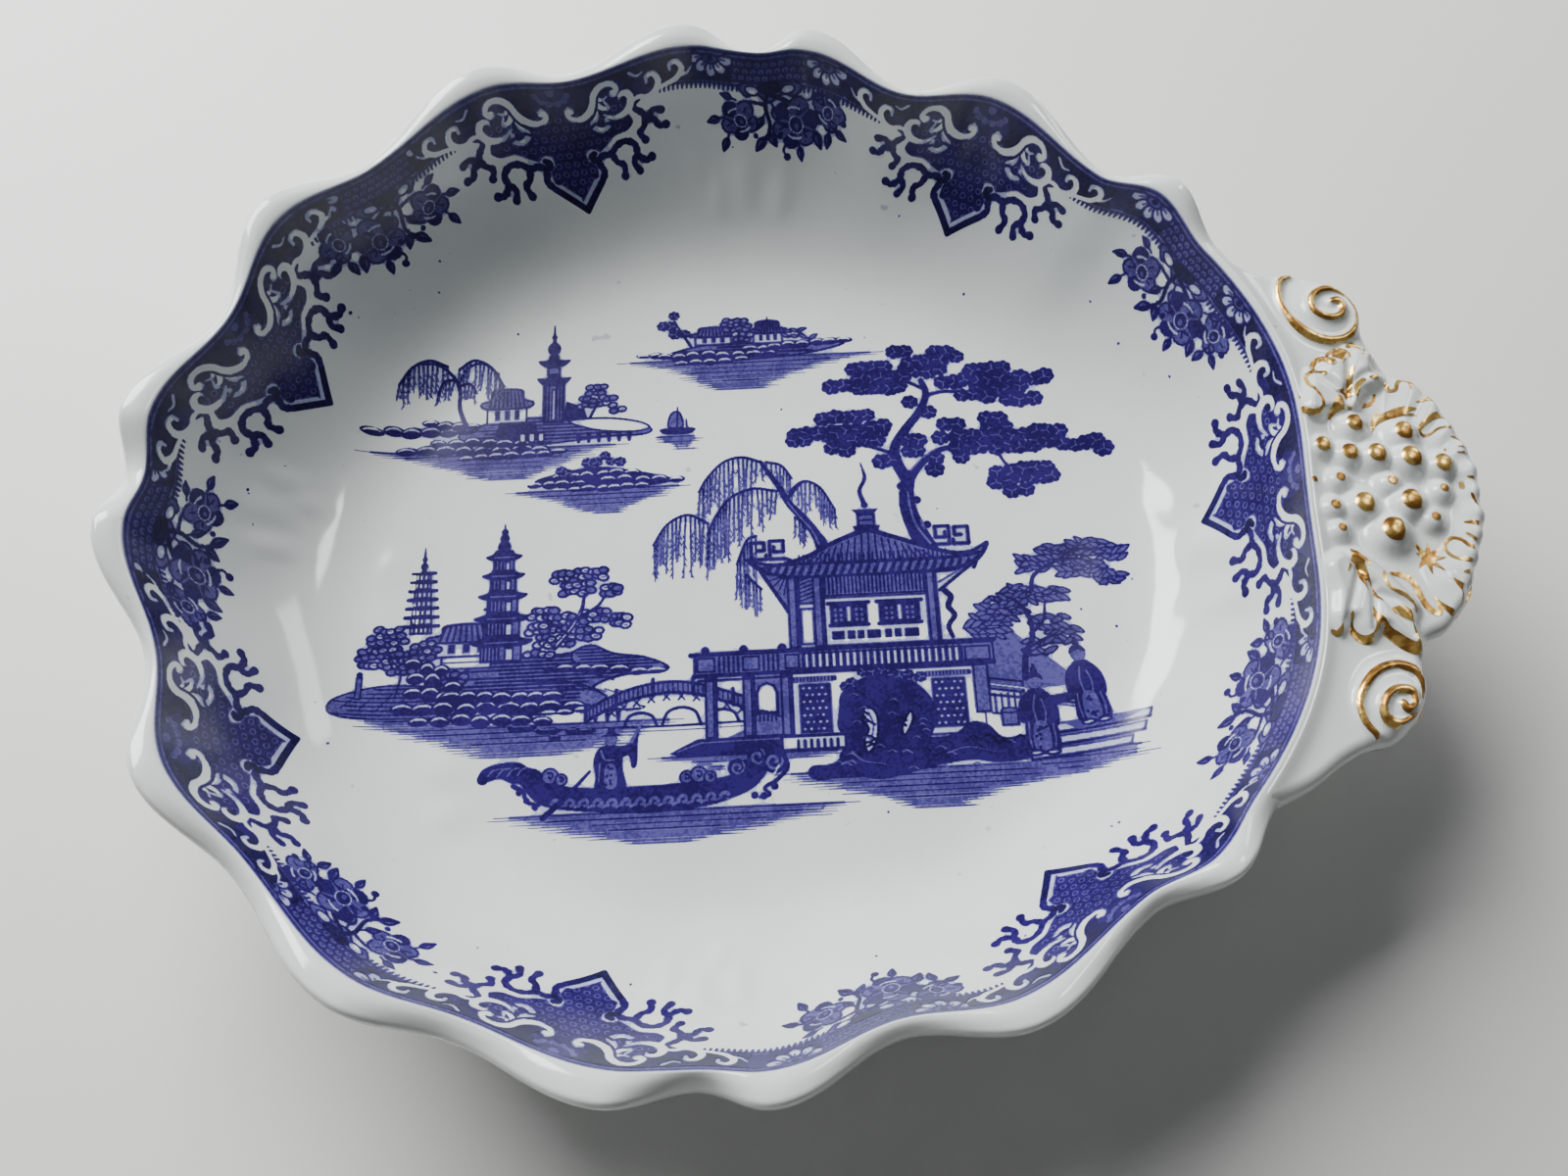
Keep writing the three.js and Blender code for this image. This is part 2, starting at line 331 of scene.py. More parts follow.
GLAZE_IOR = 1.52
GLAZE_ROUGHNESS = 0.10
GLAZE_DARK, GLAZE_LIGHT = (0.685, 0.725, 0.705), (0.745, 0.783, 0.76)
SPECK_COLOUR = (0.30, 0.31, 0.36)


def glaze_material(name):
    """Off-white earthenware under a clear glaze, faintly uneven, with a few specks."""
    material, nodes, links, shader = new_material(name)
    where = nodes.new("ShaderNodeTexCoord").outputs["Object"]
    cloud = noise(nodes, links, where, 28.0, 4.0)
    body = ramp(nodes, links, cloud, [(0.35, GLAZE_DARK), (0.65, GLAZE_LIGHT)])
    speck = noise(nodes, links, where, 260.0, 1.0)
    dots = ramp(nodes, links, speck, [(0.765, (0, 0, 0)), (0.80, (0.6, 0.6, 0.6))])
    colour = mix_colour(nodes, links, dots, body, SPECK_COLOUR)
    links.new(colour, shader.inputs["Base Color"])
    shader.inputs["Roughness"].default_value = GLAZE_ROUGHNESS
    shader.inputs["IOR"].default_value = GLAZE_IOR
    ripple = noise(nodes, links, where, 45.0, 2.0)
    bump(nodes, links, ripple, 0.0009, 0.35, shader)
    return material


white_glaze = glaze_material("white_glaze")

# ------------------------------------------------------------------ the bowl

AROUND = 1008
turn = np.arange(AROUND) / AROUND * 2 * np.pi


def lip_ring(share, rise):
    """A ring of the lip, a share of the way out from its inner edge and raised."""
    edge_radius, edge_z = lip_edge(turn)
    outer_radius, outer_z = lip_outer(turn)
    return edge_radius + (outer_radius - edge_radius) * share, edge_z + (outer_z - edge_z) * share + rise


def bowl():
    """The dish itself: floor and inside wall, lip, outside wall and underside."""
    insets = np.concatenate([np.linspace(INNERMOST, WALL_RUN, 6),
        np.linspace(WALL_RUN, 1.0, 56)[1:], [0.66, 0.33, 0]])
    inner = []
    for inset in insets:
        radius, z = wall(turn, inset)
        inner.append((radius, z + relief(turn, np.full_like(turn, inset))))
    lip = [lip_ring(0.1, 0.45), lip_ring(0.34, 1.15), lip_ring(0.62, 1.6), lip_ring(0.86, 1.7),
        lip_ring(1.0, 0.9),
           lip_ring(1.04, -0.6), lip_ring(0.92, -2.2), lip_ring(0.6, -3.9)]
    outer_insets = np.linspace(3, OUTER_RUN, 26)
    outer = [wall(turn, inset, OUTER_RUN, OUTER_STANDOFF, OUTER_DROP,
        UNDERSIDE_Z) for inset in outer_insets]
    edge = spline_stations([inner[-1], *lip, outer[0]], 5)
    stations = inner[:-1] + edge + outer[1:] + [wall(turn, INNERMOST, OUTER_RUN, OUTER_STANDOFF,
        OUTER_DROP, UNDERSIDE_Z)]
    points, faces = stacked_rings(turn, stations, FLOOR_Z, UNDERSIDE_Z)
    turned_piece("dish_bowl", points, faces, white_glaze, ["dish_body"])


bowl()


def foot_ring():
    """The low ring the dish stands on, its profile as (mm out of the foot's line, height)."""
    angles = np.arange(360) / 360 * 2 * np.pi
    base = oval_radius(angles) - FOOT_INSET
    profile = [(0.6, 4.6), (0.2, 2.6), (-0.6, 0.6), (-1.3, 0.05), (-2.6, 0.0), (-3.8, 0.05), (-4.4, 0.7),
        (-4.8, 2.4), (-5.2, 4.6)]
    stations = spline_stations([(base + out, np.full_like(base, z)) for out, z in profile], 3)
    points = np.concatenate([np.stack([r * np.cos(angles), r * np.sin(angles),
        np.maximum(z, 0)], 1) for r, z in stations])
    faces = ring_faces(len(stations), len(angles)).tolist()
    last = (len(stations) - 1) * len(angles)
    i = np.arange(len(angles))
    nxt = (i + 1) % len(angles)
    faces += np.stack([last + i, i, nxt, last + nxt], 1).tolist()
    turned_piece("foot", points, faces, white_glaze, ["foot_ring"])


foot_ring()

# ------------------------------------------------------------- the print pen


class Sheet:
    """A field of ink: 0 is bare glaze, 1 a mid wash, 2 dark line, 3 near black."""

    def __init__(self, left, low, right, high, cell):
        self.left, self.low, self.cell = left, low, cell
        self.xs = np.arange(left, right + cell / 2, cell)
        self.ys = np.arange(low, high + cell / 2, cell)
        self.ink = np.zeros((len(self.ys), len(self.xs)), np.float32)

    def window(self, points, margin):
        """The rows and columns that a drawing round these points may touch, if any."""
        x0, y0 = np.min(points, 0) - margin
        x1, y1 = np.max(points, 0) + margin
        c0 = max(0, int((x0 - self.left) / self.cell))
        r0 = max(0, int((y0 - self.low) / self.cell))
        c1 = min(len(self.xs), int((x1 - self.left) / self.cell) + 2)
        r1 = min(len(self.ys), int((y1 - self.low) / self.cell) + 2)
        if c1 <= c0 or r1 <= r0:
            return None
        return slice(r0, r1), slice(c0, c1)

    def lay(self, at, depth, tone):
        """Ink a window where depth, in mm inside the shape, is above nothing."""
        part = self.ink[at]
        part += (tone - part) * np.clip(depth / self.cell + 0.5, 0, 1)

    def segment(self, a, b, wide_a, wide_b, tone):
        """Ink a straight stroke with round ends."""
        at = self.window(np.array([a, b]), max(wide_a, wide_b) / 2 + self.cell)
        if at is None:
            return
        dx = self.xs[at[1]][None, :] - a[0]
        dy = self.ys[at[0]][:, None] - a[1]
        along = b - a
        share = np.clip((dx * along[0] + dy * along[1]) / max(along @ along, 1e-9), 0, 1)
        away = np.hypot(dx - share * along[0], dy - share * along[1])
        self.lay(at, (wide_a + (wide_b - wide_a) * share) / 2 - away, tone)

    def fill(self, points, tone):
        """Ink a closed outline."""
        at = self.window(points, self.cell)
        if at is None:
            return
        x = self.xs[at[1]][None, :]
        y = self.ys[at[0]][:, None]
        nearest = np.full((y.shape[0], x.shape[1]), 1e9)
        inside = np.zeros(nearest.shape, bool)
        for a, b in zip(points, np.roll(points, -1, 0)):
            along = b - a
            dx, dy = x - a[0], y - a[1]
            share = np.clip((dx * along[0] + dy * along[1]) / max(along @ along, 1e-9), 0, 1)
            nearest = np.minimum(nearest, (dx - share * along[0]) ** 2 + (dy - share * along[1]) ** 2)
            if a[1] != b[1]:
                inside ^= ((a[1] > y) != (b[1] > y)) & (dx < along[0] * dy / along[1])
        depth = np.where(inside, 1, -1) * np.sqrt(nearest)
        self.lay(at, depth, tone)


def curve(points, per_span=6, closed=False):
    """A smooth line through the points."""
    keys = np.asarray(points, float)
    if closed:
        keys = np.concatenate([keys[-1:], keys, keys[:2]])
    else:
        keys = np.concatenate([2 * keys[:1] - keys[1:2], keys, 2 * keys[-1:] - keys[-2:-1]])
    t = (np.arange(per_span) / per_span)[:, None]
    spans = []
    for a, b, c, d in zip(keys[:-3], keys[1:-2], keys[2:-1], keys[3:]):
        bend = (2 * a - 5 * b + 4 * c - d) * t * t + (3 * b - a - 3 * c + d) * t ** 3
        spans.append(0.5 * (2 * b + (c - a) * t + bend))
    if not closed:
        spans.append(keys[-2:-1])
    return np.concatenate(spans)


class Pen:
    """Draws on a sheet through a local frame: shifted, turned, scaled or mirrored."""

    def __init__(self, sheet, matrix=((1, 0), (0, 1)), shift=(0, 0), scale=1.0):
        self.sheet = sheet
        self.matrix = np.array(matrix, float)
        self.shift = np.array(shift, float)
        self.scale = scale

    def at(self, x, y, turn=0.0, scale=1.0, flip=1):
        """A pen whose own origin lies at x, y of this one."""
        c, s = math.cos(math.radians(turn)) * scale, math.sin(math.radians(turn)) * scale
        local = np.array([[c * flip, -s], [s * flip, c]])
        return Pen(self.sheet, self.matrix @ local, self.map((x, y)), self.scale * scale)

    def map(self, points):
        return np.asarray(points, float) @ self.matrix.T + self.shift

    def line(self, points, wide, tone=2, wide_end=None, smooth=True, middle=None):
        """A stroke that starts wide mm across and ends wide_end mm across."""
        path = self.map(curve(points) if smooth and len(points) > 2 else points)
        share = np.linspace(0, 1, len(path))
        end = wide if wide_end is None else wide_end
        widths = wide + (end - wide) * share
        if middle is not None:
            widths = widths + (middle - (wide + end) / 2) * np.sin(np.pi * share)
        widths = widths * self.scale
        for k in range(len(path) - 1):
            self.sheet.segment(path[k], path[k + 1], widths[k], widths[k + 1], tone)

    def shape(self, points, tone=2, smooth=True, edge=None, edge_wide=0.35):
        """A filled outline, with an optional drawn edge of another tone."""
        path = self.map(curve(points, 5, True) if smooth else points)
        self.sheet.fill(path, tone)
        if edge is not None:
            closed = np.concatenate([path, path[:1]])
            for a, b in zip(closed[:-1], closed[1:]):
                self.sheet.segment(a, b, edge_wide * self.scale, edge_wide * self.scale, edge)

    def dot(self, x, y, radius, tone=2, ring=None, ring_wide=0.35):
        """A round spot, with an optional ring of another tone."""
        place = self.map((x, y))
        radius = radius * self.scale
        if ring is not None:
            self.sheet.segment(place, place, 2 * radius + ring_wide, 2 * radius + ring_wide, ring)
        self.sheet.segment(place, place, 2 * radius, 2 * radius, tone)

    def oval(self, x, y, rx, ry, turn=0.0, tone=2, edge=None, edge_wide=0.35):
        angles = np.arange(14) / 14 * 2 * np.pi
        points = np.stack([rx * np.cos(angles), ry * np.sin(angles)], 1)
        self.at(x, y, turn).shape(points, tone, False, edge, edge_wide)


# ---------------------------------------------------------------- the border

BORDER_CELL = 0.22
MM_PER_DEGREE = 1.75
BORDER_DEEP = 33.0
PANEL_TURNS = [4, 60, 115, 161.5, 208, 257, 313]
SPRAY_TURNS = [31, 88, 138, 185, 233, 286, 339]
SPRAY_FACES = [-1, -1, 1, 1, -1, 1, 1]
PANEL_SCALE = 1.07
BAND_TOP = 1.9
BAND_FOOT = 6.6
TOOTH_PITCH = 1.0


def curl(x, y, radius, start, sweep, shrink=0.35, steps=14):
    """Points of a spiral from its outer end inwards."""
    share = np.linspace(0, 1, steps)
    r = radius * (1 - share * (1 - shrink))
    a = np.radians(start + sweep * share)
    return np.stack([x + r * np.cos(a), y + r * np.sin(a)], 1)


def knobby(pen, points, wide, tone=2.3):
    """A coral-like twig: a stroke with swellings along it and a rounded end."""
    pen.line(points, wide, tone, wide * 0.92)
    path = curve(points)
    for k in range(3, len(path), 7):
        pen.dot(*path[k], wide * 0.64, tone)
    pen.dot(*path[-1], wide * 0.74, tone)


def net(pen, pitch=1.95):
    """The fine net that fills one half of a panel."""
    for row in range(10):
        y = 8.2 + row * pitch
        half = np.interp(y, [8.0, 12.0, 15.0, 17.5, 22.0, 26.0], [14.5, 13.2, 8.0, 4.2, 4.0, 0.5])
        for x in np.arange((row % 2) * pitch / 2, half, pitch):
            pen.dot(x, y, 0.6, 1.2)
            pen.dot(x, y, 0.38, 1.9)


def panel_half(pen):
    """The right half of a pendant panel; x runs along the rim, y down the wall."""
    near_black, dark, white = 3, 2, 0
    field = [(-0.4, 1.6), (9, 1.6), (19, 1.6), (21.5, 4), (21, 7.6), (17.6, 8.2), (15.6, 9.4),
        (15.2, 12.0),
             (13.4, 14.2), (10.6, 14.4), (8, 16.2), (5.8, 17.0), (5.0, 18.4), (4.9, 21.6), (3.9, 22.8),
             (2.2, 24.4), (-0.4, 27.0)]
    pen.shape(field, 1.62, False)
    net(pen)
    # dark ground under the rim, either side of the shell and out along the band
    pen.shape([(2.4, 1.6), (8.4, 1.6), (9.4, 3.2), (7.6, 5.4), (5.8, 7.2), (3.6, 6.8), (4.4, 5.0),
        (3.8, 3.6)], near_black)
    pen.shape([(8.6, 1.6), (21.2, 1.6), (22.6, 3.2), (20.4, 5.8), (17, 4.9), (16.2, 6.4), (14.2, 5.4),
        (14.6, 3.6), (11.4, 2.9)], near_black)
    pen.shape([(19.0, 1.6), (29.0, 1.6), (28.4, 4.2), (29.4, 6.4), (19.0, 6.4)], near_black, False)
    # white acanthus scrolls
    big_scroll = [(2.6, 5.8), (2.0, 6.9), (2.7, 8.3), (4.4, 8.7), (6.2, 7.9), (7.6, 6.2), (8.3, 4.2),
        (9.9, 2.9), (12.0, 3.0),
                  (13.0, 4.4), (12.4, 5.6)]
    pen.line(big_scroll, 0.7, white, 0.8, middle=1.5)
    pen.dot(2.9, 6.6, 0.75, white)
    pen.dot(12.1, 5.2, 0.8, white)
    pen.line([(7.4, 6.4), (7.6, 8.8), (6.6, 10.6), (8.2, 12.0), (9.8, 11.4),
        (9.6, 10.0)], 1.4, white, 0.8)
    pen.line([(7.9, 5.6), (9.2, 7.4), (10.6, 7.8), (10.0, 6.2)], 1.2, white, 0.4)
    pen.line([(8.2, 4.8), (9.6, 5.8), (10.8, 5.4)], 1.0, white, 0.3)
    pen.line([(9.4, 9.0), (11.6, 10.2), (14.2, 9.6), (15.4, 7.8), (14.9, 6.0), (13.5, 6.2),
        (13.6, 7.4)], 0.5, white, 0.7, middle=1.55)
    pen.line([(15.2, 8.2), (17.2, 7.6), (18.8, 8.2), (20.8, 7.4), (21.6, 5.6), (20.8, 4.0), (19.4, 4.2),
        (19.2, 5.4)], 0.6, white, 0.7, middle=1.35)
    pen.line([(21.0, 7.2), (23.2, 6.6), (25.4, 5.8), (26.6, 4.2), (25.8, 2.8), (24.4, 3.0),
        (24.2, 4.2)], 0.6, white, 0.6, middle=1.2)
    pen.line([(26.4, 5.2), (27.6, 5.0), (28.6, 3.8)], 0.9, white, 0.3)
    pen.line([(16.0, 2.4), (17.4, 3.5), (18.8, 3.1)], 0.7, white, 0.4)
    # dark lines beside the scrolls
    pen.line([(3.1, 9.3), (5.0, 9.8), (7.0, 8.8), (8.2, 7.0), (8.9, 5.0), (10.2, 3.9)], 0.5, dark, 0.3)
    pen.line([(9.6, 10.9), (12.2, 11.5), (15.0, 10.8), (16.2, 8.9)], 0.55, dark, 0.3)
    pen.line([(7.2, 10.3), (6.0, 11.2), (7.4, 13.2), (10.0, 12.9), (11.2, 11.2)], 0.5, dark, 0.3)
    pen.dot(13.9, 7.2, 0.7, near_black)
    pen.dot(8.7, 10.7, 0.5, dark)
    pen.dot(20.2, 5.4, 0.55, near_black)
    # white line inside the stem, then the stem itself
    inner = [(14.9, 9.8), (15.6, 12.2), (13.7, 14.0), (10.8, 14.3), (8.4, 16.0), (6.4, 16.9),
        (5.2, 16.0), (4.1, 16.2),
             (4.2, 17.6), (5.4, 18.8), (5.4, 21.4), (3.9, 22.4)]
    pen.line(inner, 1.15, white, 0.9)
    pen.line([(3.9, 22.2), (0, 26.2)], 0.9, white, smooth=False)
    pen.line([(5.3, 22.5), (0, 27.9)], 1.3, near_black, smooth=False)
    knobby(pen, [(5.5, 22.3), (6.4, 20.6), (5.7, 18.5), (6.9, 17.3), (8.8, 17.3), (10.6, 15.9),
        (12.8, 15.6), (14.5, 16.9),
                 (14.6, 18.9), (16.1, 20.4), (17.6, 20.0)], 1.2)
    pen.line([(5.9, 18.2), (4.7, 17.9), (4.5, 16.9), (5.3, 16.5)], 1.0, near_black)
    knobby(pen, [(9.0, 17.4), (9.7, 19.3), (11.1, 20.4), (10.7, 22.6)], 1.15)
    knobby(pen, [(14.5, 18.6), (13.4, 20.4), (14.3, 22.2)], 1.1)
    # the crossed twig beside the field
    knobby(pen, [(16.0, 9.8), (17.6, 11.4), (17.3, 13.4), (16.0, 14.8), (16.9, 16.4)], 1.1)
    knobby(pen, [(17.5, 12.6), (19.4, 12.7), (20.4, 14.3), (21.9, 14.3)], 1.1)
    knobby(pen, [(18.2, 12.3), (19.6, 10.9), (21.3, 11.3)], 1.05)


def panel_middle(pen):
    """The little shell at the top of the panel."""
    for k in range(6):
        angle = math.radians(18 + k * 28.8)
        pen.dot(3.2 * math.cos(angle), 2.2 + 2.5 * math.sin(angle), 0.66, 0.9)
        pen.line([(0, 2.2), (2.6 * math.cos(angle), 2.2 + 1.9 * math.sin(angle))], 0.35, 2)
    pen.dot(0, 2.3, 0.8, 1)


def rosette(pen):
    """Half a flower hanging from the rim, its petals left white."""
    pen.shape([(-4.7, 1.6), (4.7, 1.6), (4.2, 6.9), (-4.2, 6.9)], 2.6, False)
    for k in range(5):
        angle = math.radians(6 + k * 42)
        reach = 3.3 if k in (0, 4) else 2.9
        x, y = reach * math.cos(angle), 2.1 + reach * 0.92 * math.sin(angle)
        pen.oval(x, y, 1.5, 1.2, math.degrees(angle), 0, 2, 0.35)
        pen.line([(x * 0.55, 2.1 + (y - 2.1) * 0.55), (x * 0.95, 2.1 + (y - 2.1) * 0.95)], 0.4, 1)
    pen.oval(0, 2.4, 1.6, 1.0, 0, 1, 2, 0.35)
    pen.dot(0, 2.3, 0.6, 2.6)


def scale_band(pen, length):
    """A net of small scales between two rosettes."""
    half = length / 2
    pen.shape([(-half, BAND_TOP - 0.3), (half, BAND_TOP - 0.3), (half, BAND_FOOT),
        (-half, BAND_FOOT)], 1.9, False)
    pitch = 1.75
    columns = int(length / pitch)
    for row in range(3):
        for k in range(columns):
            x = -half + (k + 0.5 + (row % 2) * 0.5) * pitch
            y = BAND_TOP + 0.75 + row * 1.45
            if abs(x) < half - 0.5:
                pen.oval(x, y, 0.66, 0.52, 0, 0.95)
                pen.dot(x, y + 0.12, 0.26, 1.9)


def flower(pen, x, y, radius, petals, turn):
    """A peony: overlapping petals, dark and washed by turns, parted by white lines."""
    pen = pen.at(x, y, turn)
    step = 2 * math.pi / petals
    for k in range(petals):
        px, py = radius * 0.62 * math.cos(k * step), radius * 0.62 * math.sin(k * step)
        size = radius * (0.56 + 0.05 * math.sin(5 * k))
        pen.oval(px, py, size * 1.12, size * 0.92, math.degrees(k * step), 1.9 if k % 2 else 1.2, 2, 0.4)
    for k in range(petals):
        gap = (k + 0.5) * step
        start, end = radius * 0.45, radius * 0.95
        pen.line([(start * math.cos(gap), start * math.sin(gap)),
            (end * math.cos(gap), end * math.sin(gap))], 0.5, 0.8, 0.3)
        pen.line([(radius * 0.6 * math.cos(k * step), radius * 0.6 * math.sin(k * step)),
                  (radius * 0.9 * math.cos(k * step), radius * 0.9 * math.sin(k * step))], 0.3, 2.2)
    pen.oval(radius * 0.08, 0, radius * 0.42, radius * 0.36, 20, 2, 0.4, 0.4)
    pen.oval(radius * 0.16, radius * 0.05, radius * 0.2, radius * 0.15, 30, 1, 2, 0.25)
    pen.line(curl(0, 0, radius * 0.74, 20, 60, 0.9), 0.5, 0, 0.3)
    pen.line(curl(0, 0, radius * 0.8, 200, 46, 0.9), 0.45, 0, 0.3)


def leaf(pen, x, y, length, turn):
    """A pointed leaf that starts at x, y and points along turn, one half lighter."""
    pen = pen.at(x, y, turn)
    wide = length * 0.27
    upper = [(0, 0), (length * 0.25, wide * 0.9), (length * 0.5, wide), (length * 0.78, wide * 0.6),
        (length, 0)]
    lower = [(length * 0.8, -wide * 0.5), (length * 0.5, -wide * 0.95), (length * 0.22, -wide * 0.8)]
    pen.shape(upper + lower, 2)
    pen.shape([(length * 0.2, 0.15), (length * 0.45, wide * 0.62), (length * 0.75, 0.2)], 1.35)
    pen.line([(-length * 0.25, 0), (length * 0.2, 0)], 0.4, 2)


def spray(pen):
    """A hanging spray of peonies, leaves and buds below the band."""
    pen.shape([(-6.0, 6.8), (-5.2, 9.4), (-2.6, 8.8), (0, 10.6), (3.2, 9.0), (5.8, 9.6),
        (6.6, 6.8)], 1, True, 2, 0.45)
    pen.oval(-3.8, 8.1, 1.6, 1.0, 10, 0, 2, 0.35)
    pen.oval(4.2, 8.1, 1.6, 1.0, -10, 0, 2, 0.35)
    pen.shape([(-2.2, 6.4), (2.8, 6.4), (2.4, 8.6), (-1.8, 8.6)], 3, True)
    pen.line([(-0.2, 8.4), (-0.8, 11.5), (0.4, 15.5), (-0.2, 18.6)], 0.9, 2.6, 0.5)
    pen.line([(0.6, 9.2), (3.6, 10.4), (7.4, 12.4), (12.0, 12.6), (15.6, 15.0)], 0.9, 2.6, 0.45)
    pen.line([(-0.8, 11.0), (-5.6, 11.0), (-9.4, 16.8)], 0.7, 2, 0.4)
    flower(pen, 6.2, 15.2, 4.4, 6, 40)
    flower(pen, 13.6, 11.4, 3.3, 5, 70)
    flower(pen, -6.8, 14.8, 3.6, 5, 10)
    for place in ((1.0, 11.6, 3.8, 66), (-1.2, 13.6, 3.4, 118), (0.4, 17.2, 3.6, 60),
            (-0.6, 18.0, 4.2, 125),
                  (9.6, 9.6, 3.6, -30), (11.0, 16.0, 4.2, 62), (15.8, 14.6, 3.4, 24),
                  (14.4, 15.6, 3.6, 92),
                  (-11.2, 14.6, 3.4, 160), (-9.6, 18.6, 3.6, 112), (-8.2, 10.2, 3.0, 196),
                  (7.6, 19.8, 3.4, 75)):
        leaf(pen, *place)
    pen.line([(4.4, 19.2), (3.8, 21.0), (4.6, 22.2)], 0.5, 2, 0.4)
    pen.dot(4.8, 22.4, 0.8, 2)
    pen.dot(2.9, 17.6, 0.6, 2)
    pen.dot(-3.0, 17.9, 0.55, 2)
    pen.dot(17.6, 12.6, 0.7, 2)


PALE_TONE = 0.42


def blurred(field, passes):
    for _ in range(passes):
        padded = np.pad(field, 1, mode="edge")
        field = (padded[:-2, 1:-1] + padded[2:, 1:-1] + padded[1:-1, :-2] + padded[1:-1,
            2:] + 2 * field) / 6
    return field


def bleed(sheet, reach, share):
    """Cobalt runs a little in the glaze and tints the narrow gaps inside the print."""
    passes = int(3 * (reach / sheet.cell) ** 2)
    inked = blurred((sheet.ink > 0.5).astype(np.float32), passes)
    sheet.ink = np.where((sheet.ink < PALE_TONE) & (inked > share),
        PALE_TONE, sheet.ink).astype(np.float32)


def specks(pen, count, across, down, rng):
    """Stray dots and smudges of cobalt in the glaze."""
    for _ in range(count):
        x, y = rng.uniform(*across), rng.uniform(*down)
        pen.oval(x, y, rng.uniform(0.14, 0.42), rng.uniform(0.14, 0.34), 0,
            rng.choice([PALE_TONE, PALE_TONE, 1.0, 2.0]))


def border_sheet():
    """The whole border, unrolled: x is millimetres round the rim, y down the wall."""
    full = 360 * MM_PER_DEGREE
    margin = 30
    sheet = Sheet(-margin, 0, full + margin, BORDER_DEEP, BORDER_CELL)
    pen = Pen(sheet)
    specks(pen, 60, (0, full), (9, BORDER_DEEP), np.random.default_rng(5))
    # ground of the band, its lower line and its saw teeth
    ends = (-margin, full + margin)
    pen.shape([(ends[0], BAND_TOP - 0.3), (ends[1], BAND_TOP - 0.3), (ends[1], BAND_FOOT + 0.9),
        (ends[0], BAND_FOOT + 0.9)], 1.7, False)
    pen.line([(ends[0], BAND_FOOT + 0.25), (ends[1], BAND_FOOT + 0.25)], 0.3, 0)
    for x in np.arange(ends[0], ends[1], TOOTH_PITCH):
        pen.line([(x, BAND_FOOT + 0.8), (x + 0.15, BAND_FOOT + 1.9)], 0.62, 2, 0.3, False)
    for turns in (-360, 0, 360):
        for turn in SPRAY_TURNS:
            x = (turn + turns) * MM_PER_DEGREE
            if -margin - 20 < x < full + margin + 20:
                scale_band(pen.at(x, 0), 21)
                rosette(pen.at(x - 12.6, 0))
                rosette(pen.at(x + 12.6, 0))
                spray(pen.at(x, 0, 0, 1, SPRAY_FACES[SPRAY_TURNS.index(turn)]))
        for turn in PANEL_TURNS:
            x = (turn + turns) * MM_PER_DEGREE
            if -margin - 30 < x < full + margin + 30:
                for side in (1, -1):
                    panel_half(pen.at(x, 0, 0, PANEL_SCALE, side))
                panel_middle(pen.at(x, 0, 0, PANEL_SCALE))
    # the double line under the lip
    pen.line([(ends[0], 0.75), (ends[1], 0.75)], 0.6, 2)
    pen.line([(ends[0], 1.55), (ends[1], 1.55)], 0.4, 2)
    bleed(sheet, 0.9, 0.52)
    return sheet


# ----------------------------------------------------------- the scene's parts

SCENE_CELL = 0.2
STRAND_GAP = 1.05


def water(pen, rows, rng, tone=1.0, pitch=0.55):
    """Engraved lines of still water, darkest by the shore; rows holds (y, left, right)."""
    rows = np.array(rows, float)
    high, low = rows[0, 0], rows[-1, 0]
    for k, y in enumerate(np.arange(high, low, -pitch)):
        left = np.interp(-y, -rows[:, 0], rows[:, 1]) + rng.uniform(-2.6, 1.2)
        right = np.interp(-y, -rows[:, 0], rows[:, 2]) + rng.uniform(-1.2, 2.6)
        if right - left < 1.5:
            continue
        fall = (high - y) / (high - low)
        wide = 0.5 if fall < 0.6 else 0.4
        inner_left, inner_right = left + (right - left) * 0.2, right - (right - left) * 0.2
        pen.line([(left, y), (inner_left, y)], 0.12, tone, wide, False)
        pen.line([(inner_left, y), (inner_right, y)], wide, tone, wide, False)
        pen.line([(inner_right, y), (right, y)], wide, tone, 0.12, False)
        if k % 2 == 0 and fall < 0.7:
            trim = (right - left) * (0.06 + 0.3 * fall) * rng.uniform(0.7, 1.3)
            pen.line([(left + trim, y), (right - trim, y)], 0.33 - 0.12 * fall, 1.95, smooth=False)


def hatch(pen, outline, pitch, wide, rng, tone=1.95):
    """Level engraved lines across a patch of ground."""
    ring = curve(outline, closed=True)
    after = np.roll(ring, -1, axis=0)
    for y in np.arange(ring[:, 1].min() + pitch, ring[:, 1].max(), pitch):
        crossed = (ring[:, 1] > y) != (after[:, 1] > y)
        here, there = ring[crossed], after[crossed]
        cuts = here[:, 0] + (y - here[:, 1]) / (there[:, 1] - here[:, 1]) * (there[:, 0] - here[:, 0])
        cuts = np.sort(cuts)
        for left, right in zip(cuts[::2], cuts[1::2]):
            long = right - left
            start, end = left + rng.uniform(0, 0.22) * long, right - rng.uniform(0, 0.22) * long
            pen.line([(start, y), (end, y)], wide, tone, wide, False)


def ledge(pen, x0, x1, y0, y1, deep, rng, bump=3.2):
    """A shelf of rock: rounded dark lumps in a row, each with a white crest."""
    count = max(2, int(abs(x1 - x0) / bump))
    for k in range(count + 1):
        share = k / count
        x = x0 + (x1 - x0) * share + rng.uniform(-0.3, 0.3)
        y = y0 + (y1 - y0) * share + rng.uniform(-0.12, 0.22) * deep
        half = bump * rng.uniform(0.58, 0.72)
        high = deep * (0.52 + 0.26 * math.sin(math.pi * share))
        pen.oval(x, y, half, high, rng.uniform(-8, 8), 2.1)
        crest = [(x - half * 0.8, y + high * 0.1), (x - half * 0.4, y + high * 0.5),
            (x + half * 0.2, y + high * 0.56),
                 (x + half * 0.7, y + high * 0.12)]
        pen.line(crest, 0.2, 0, 0.2, middle=0.5)


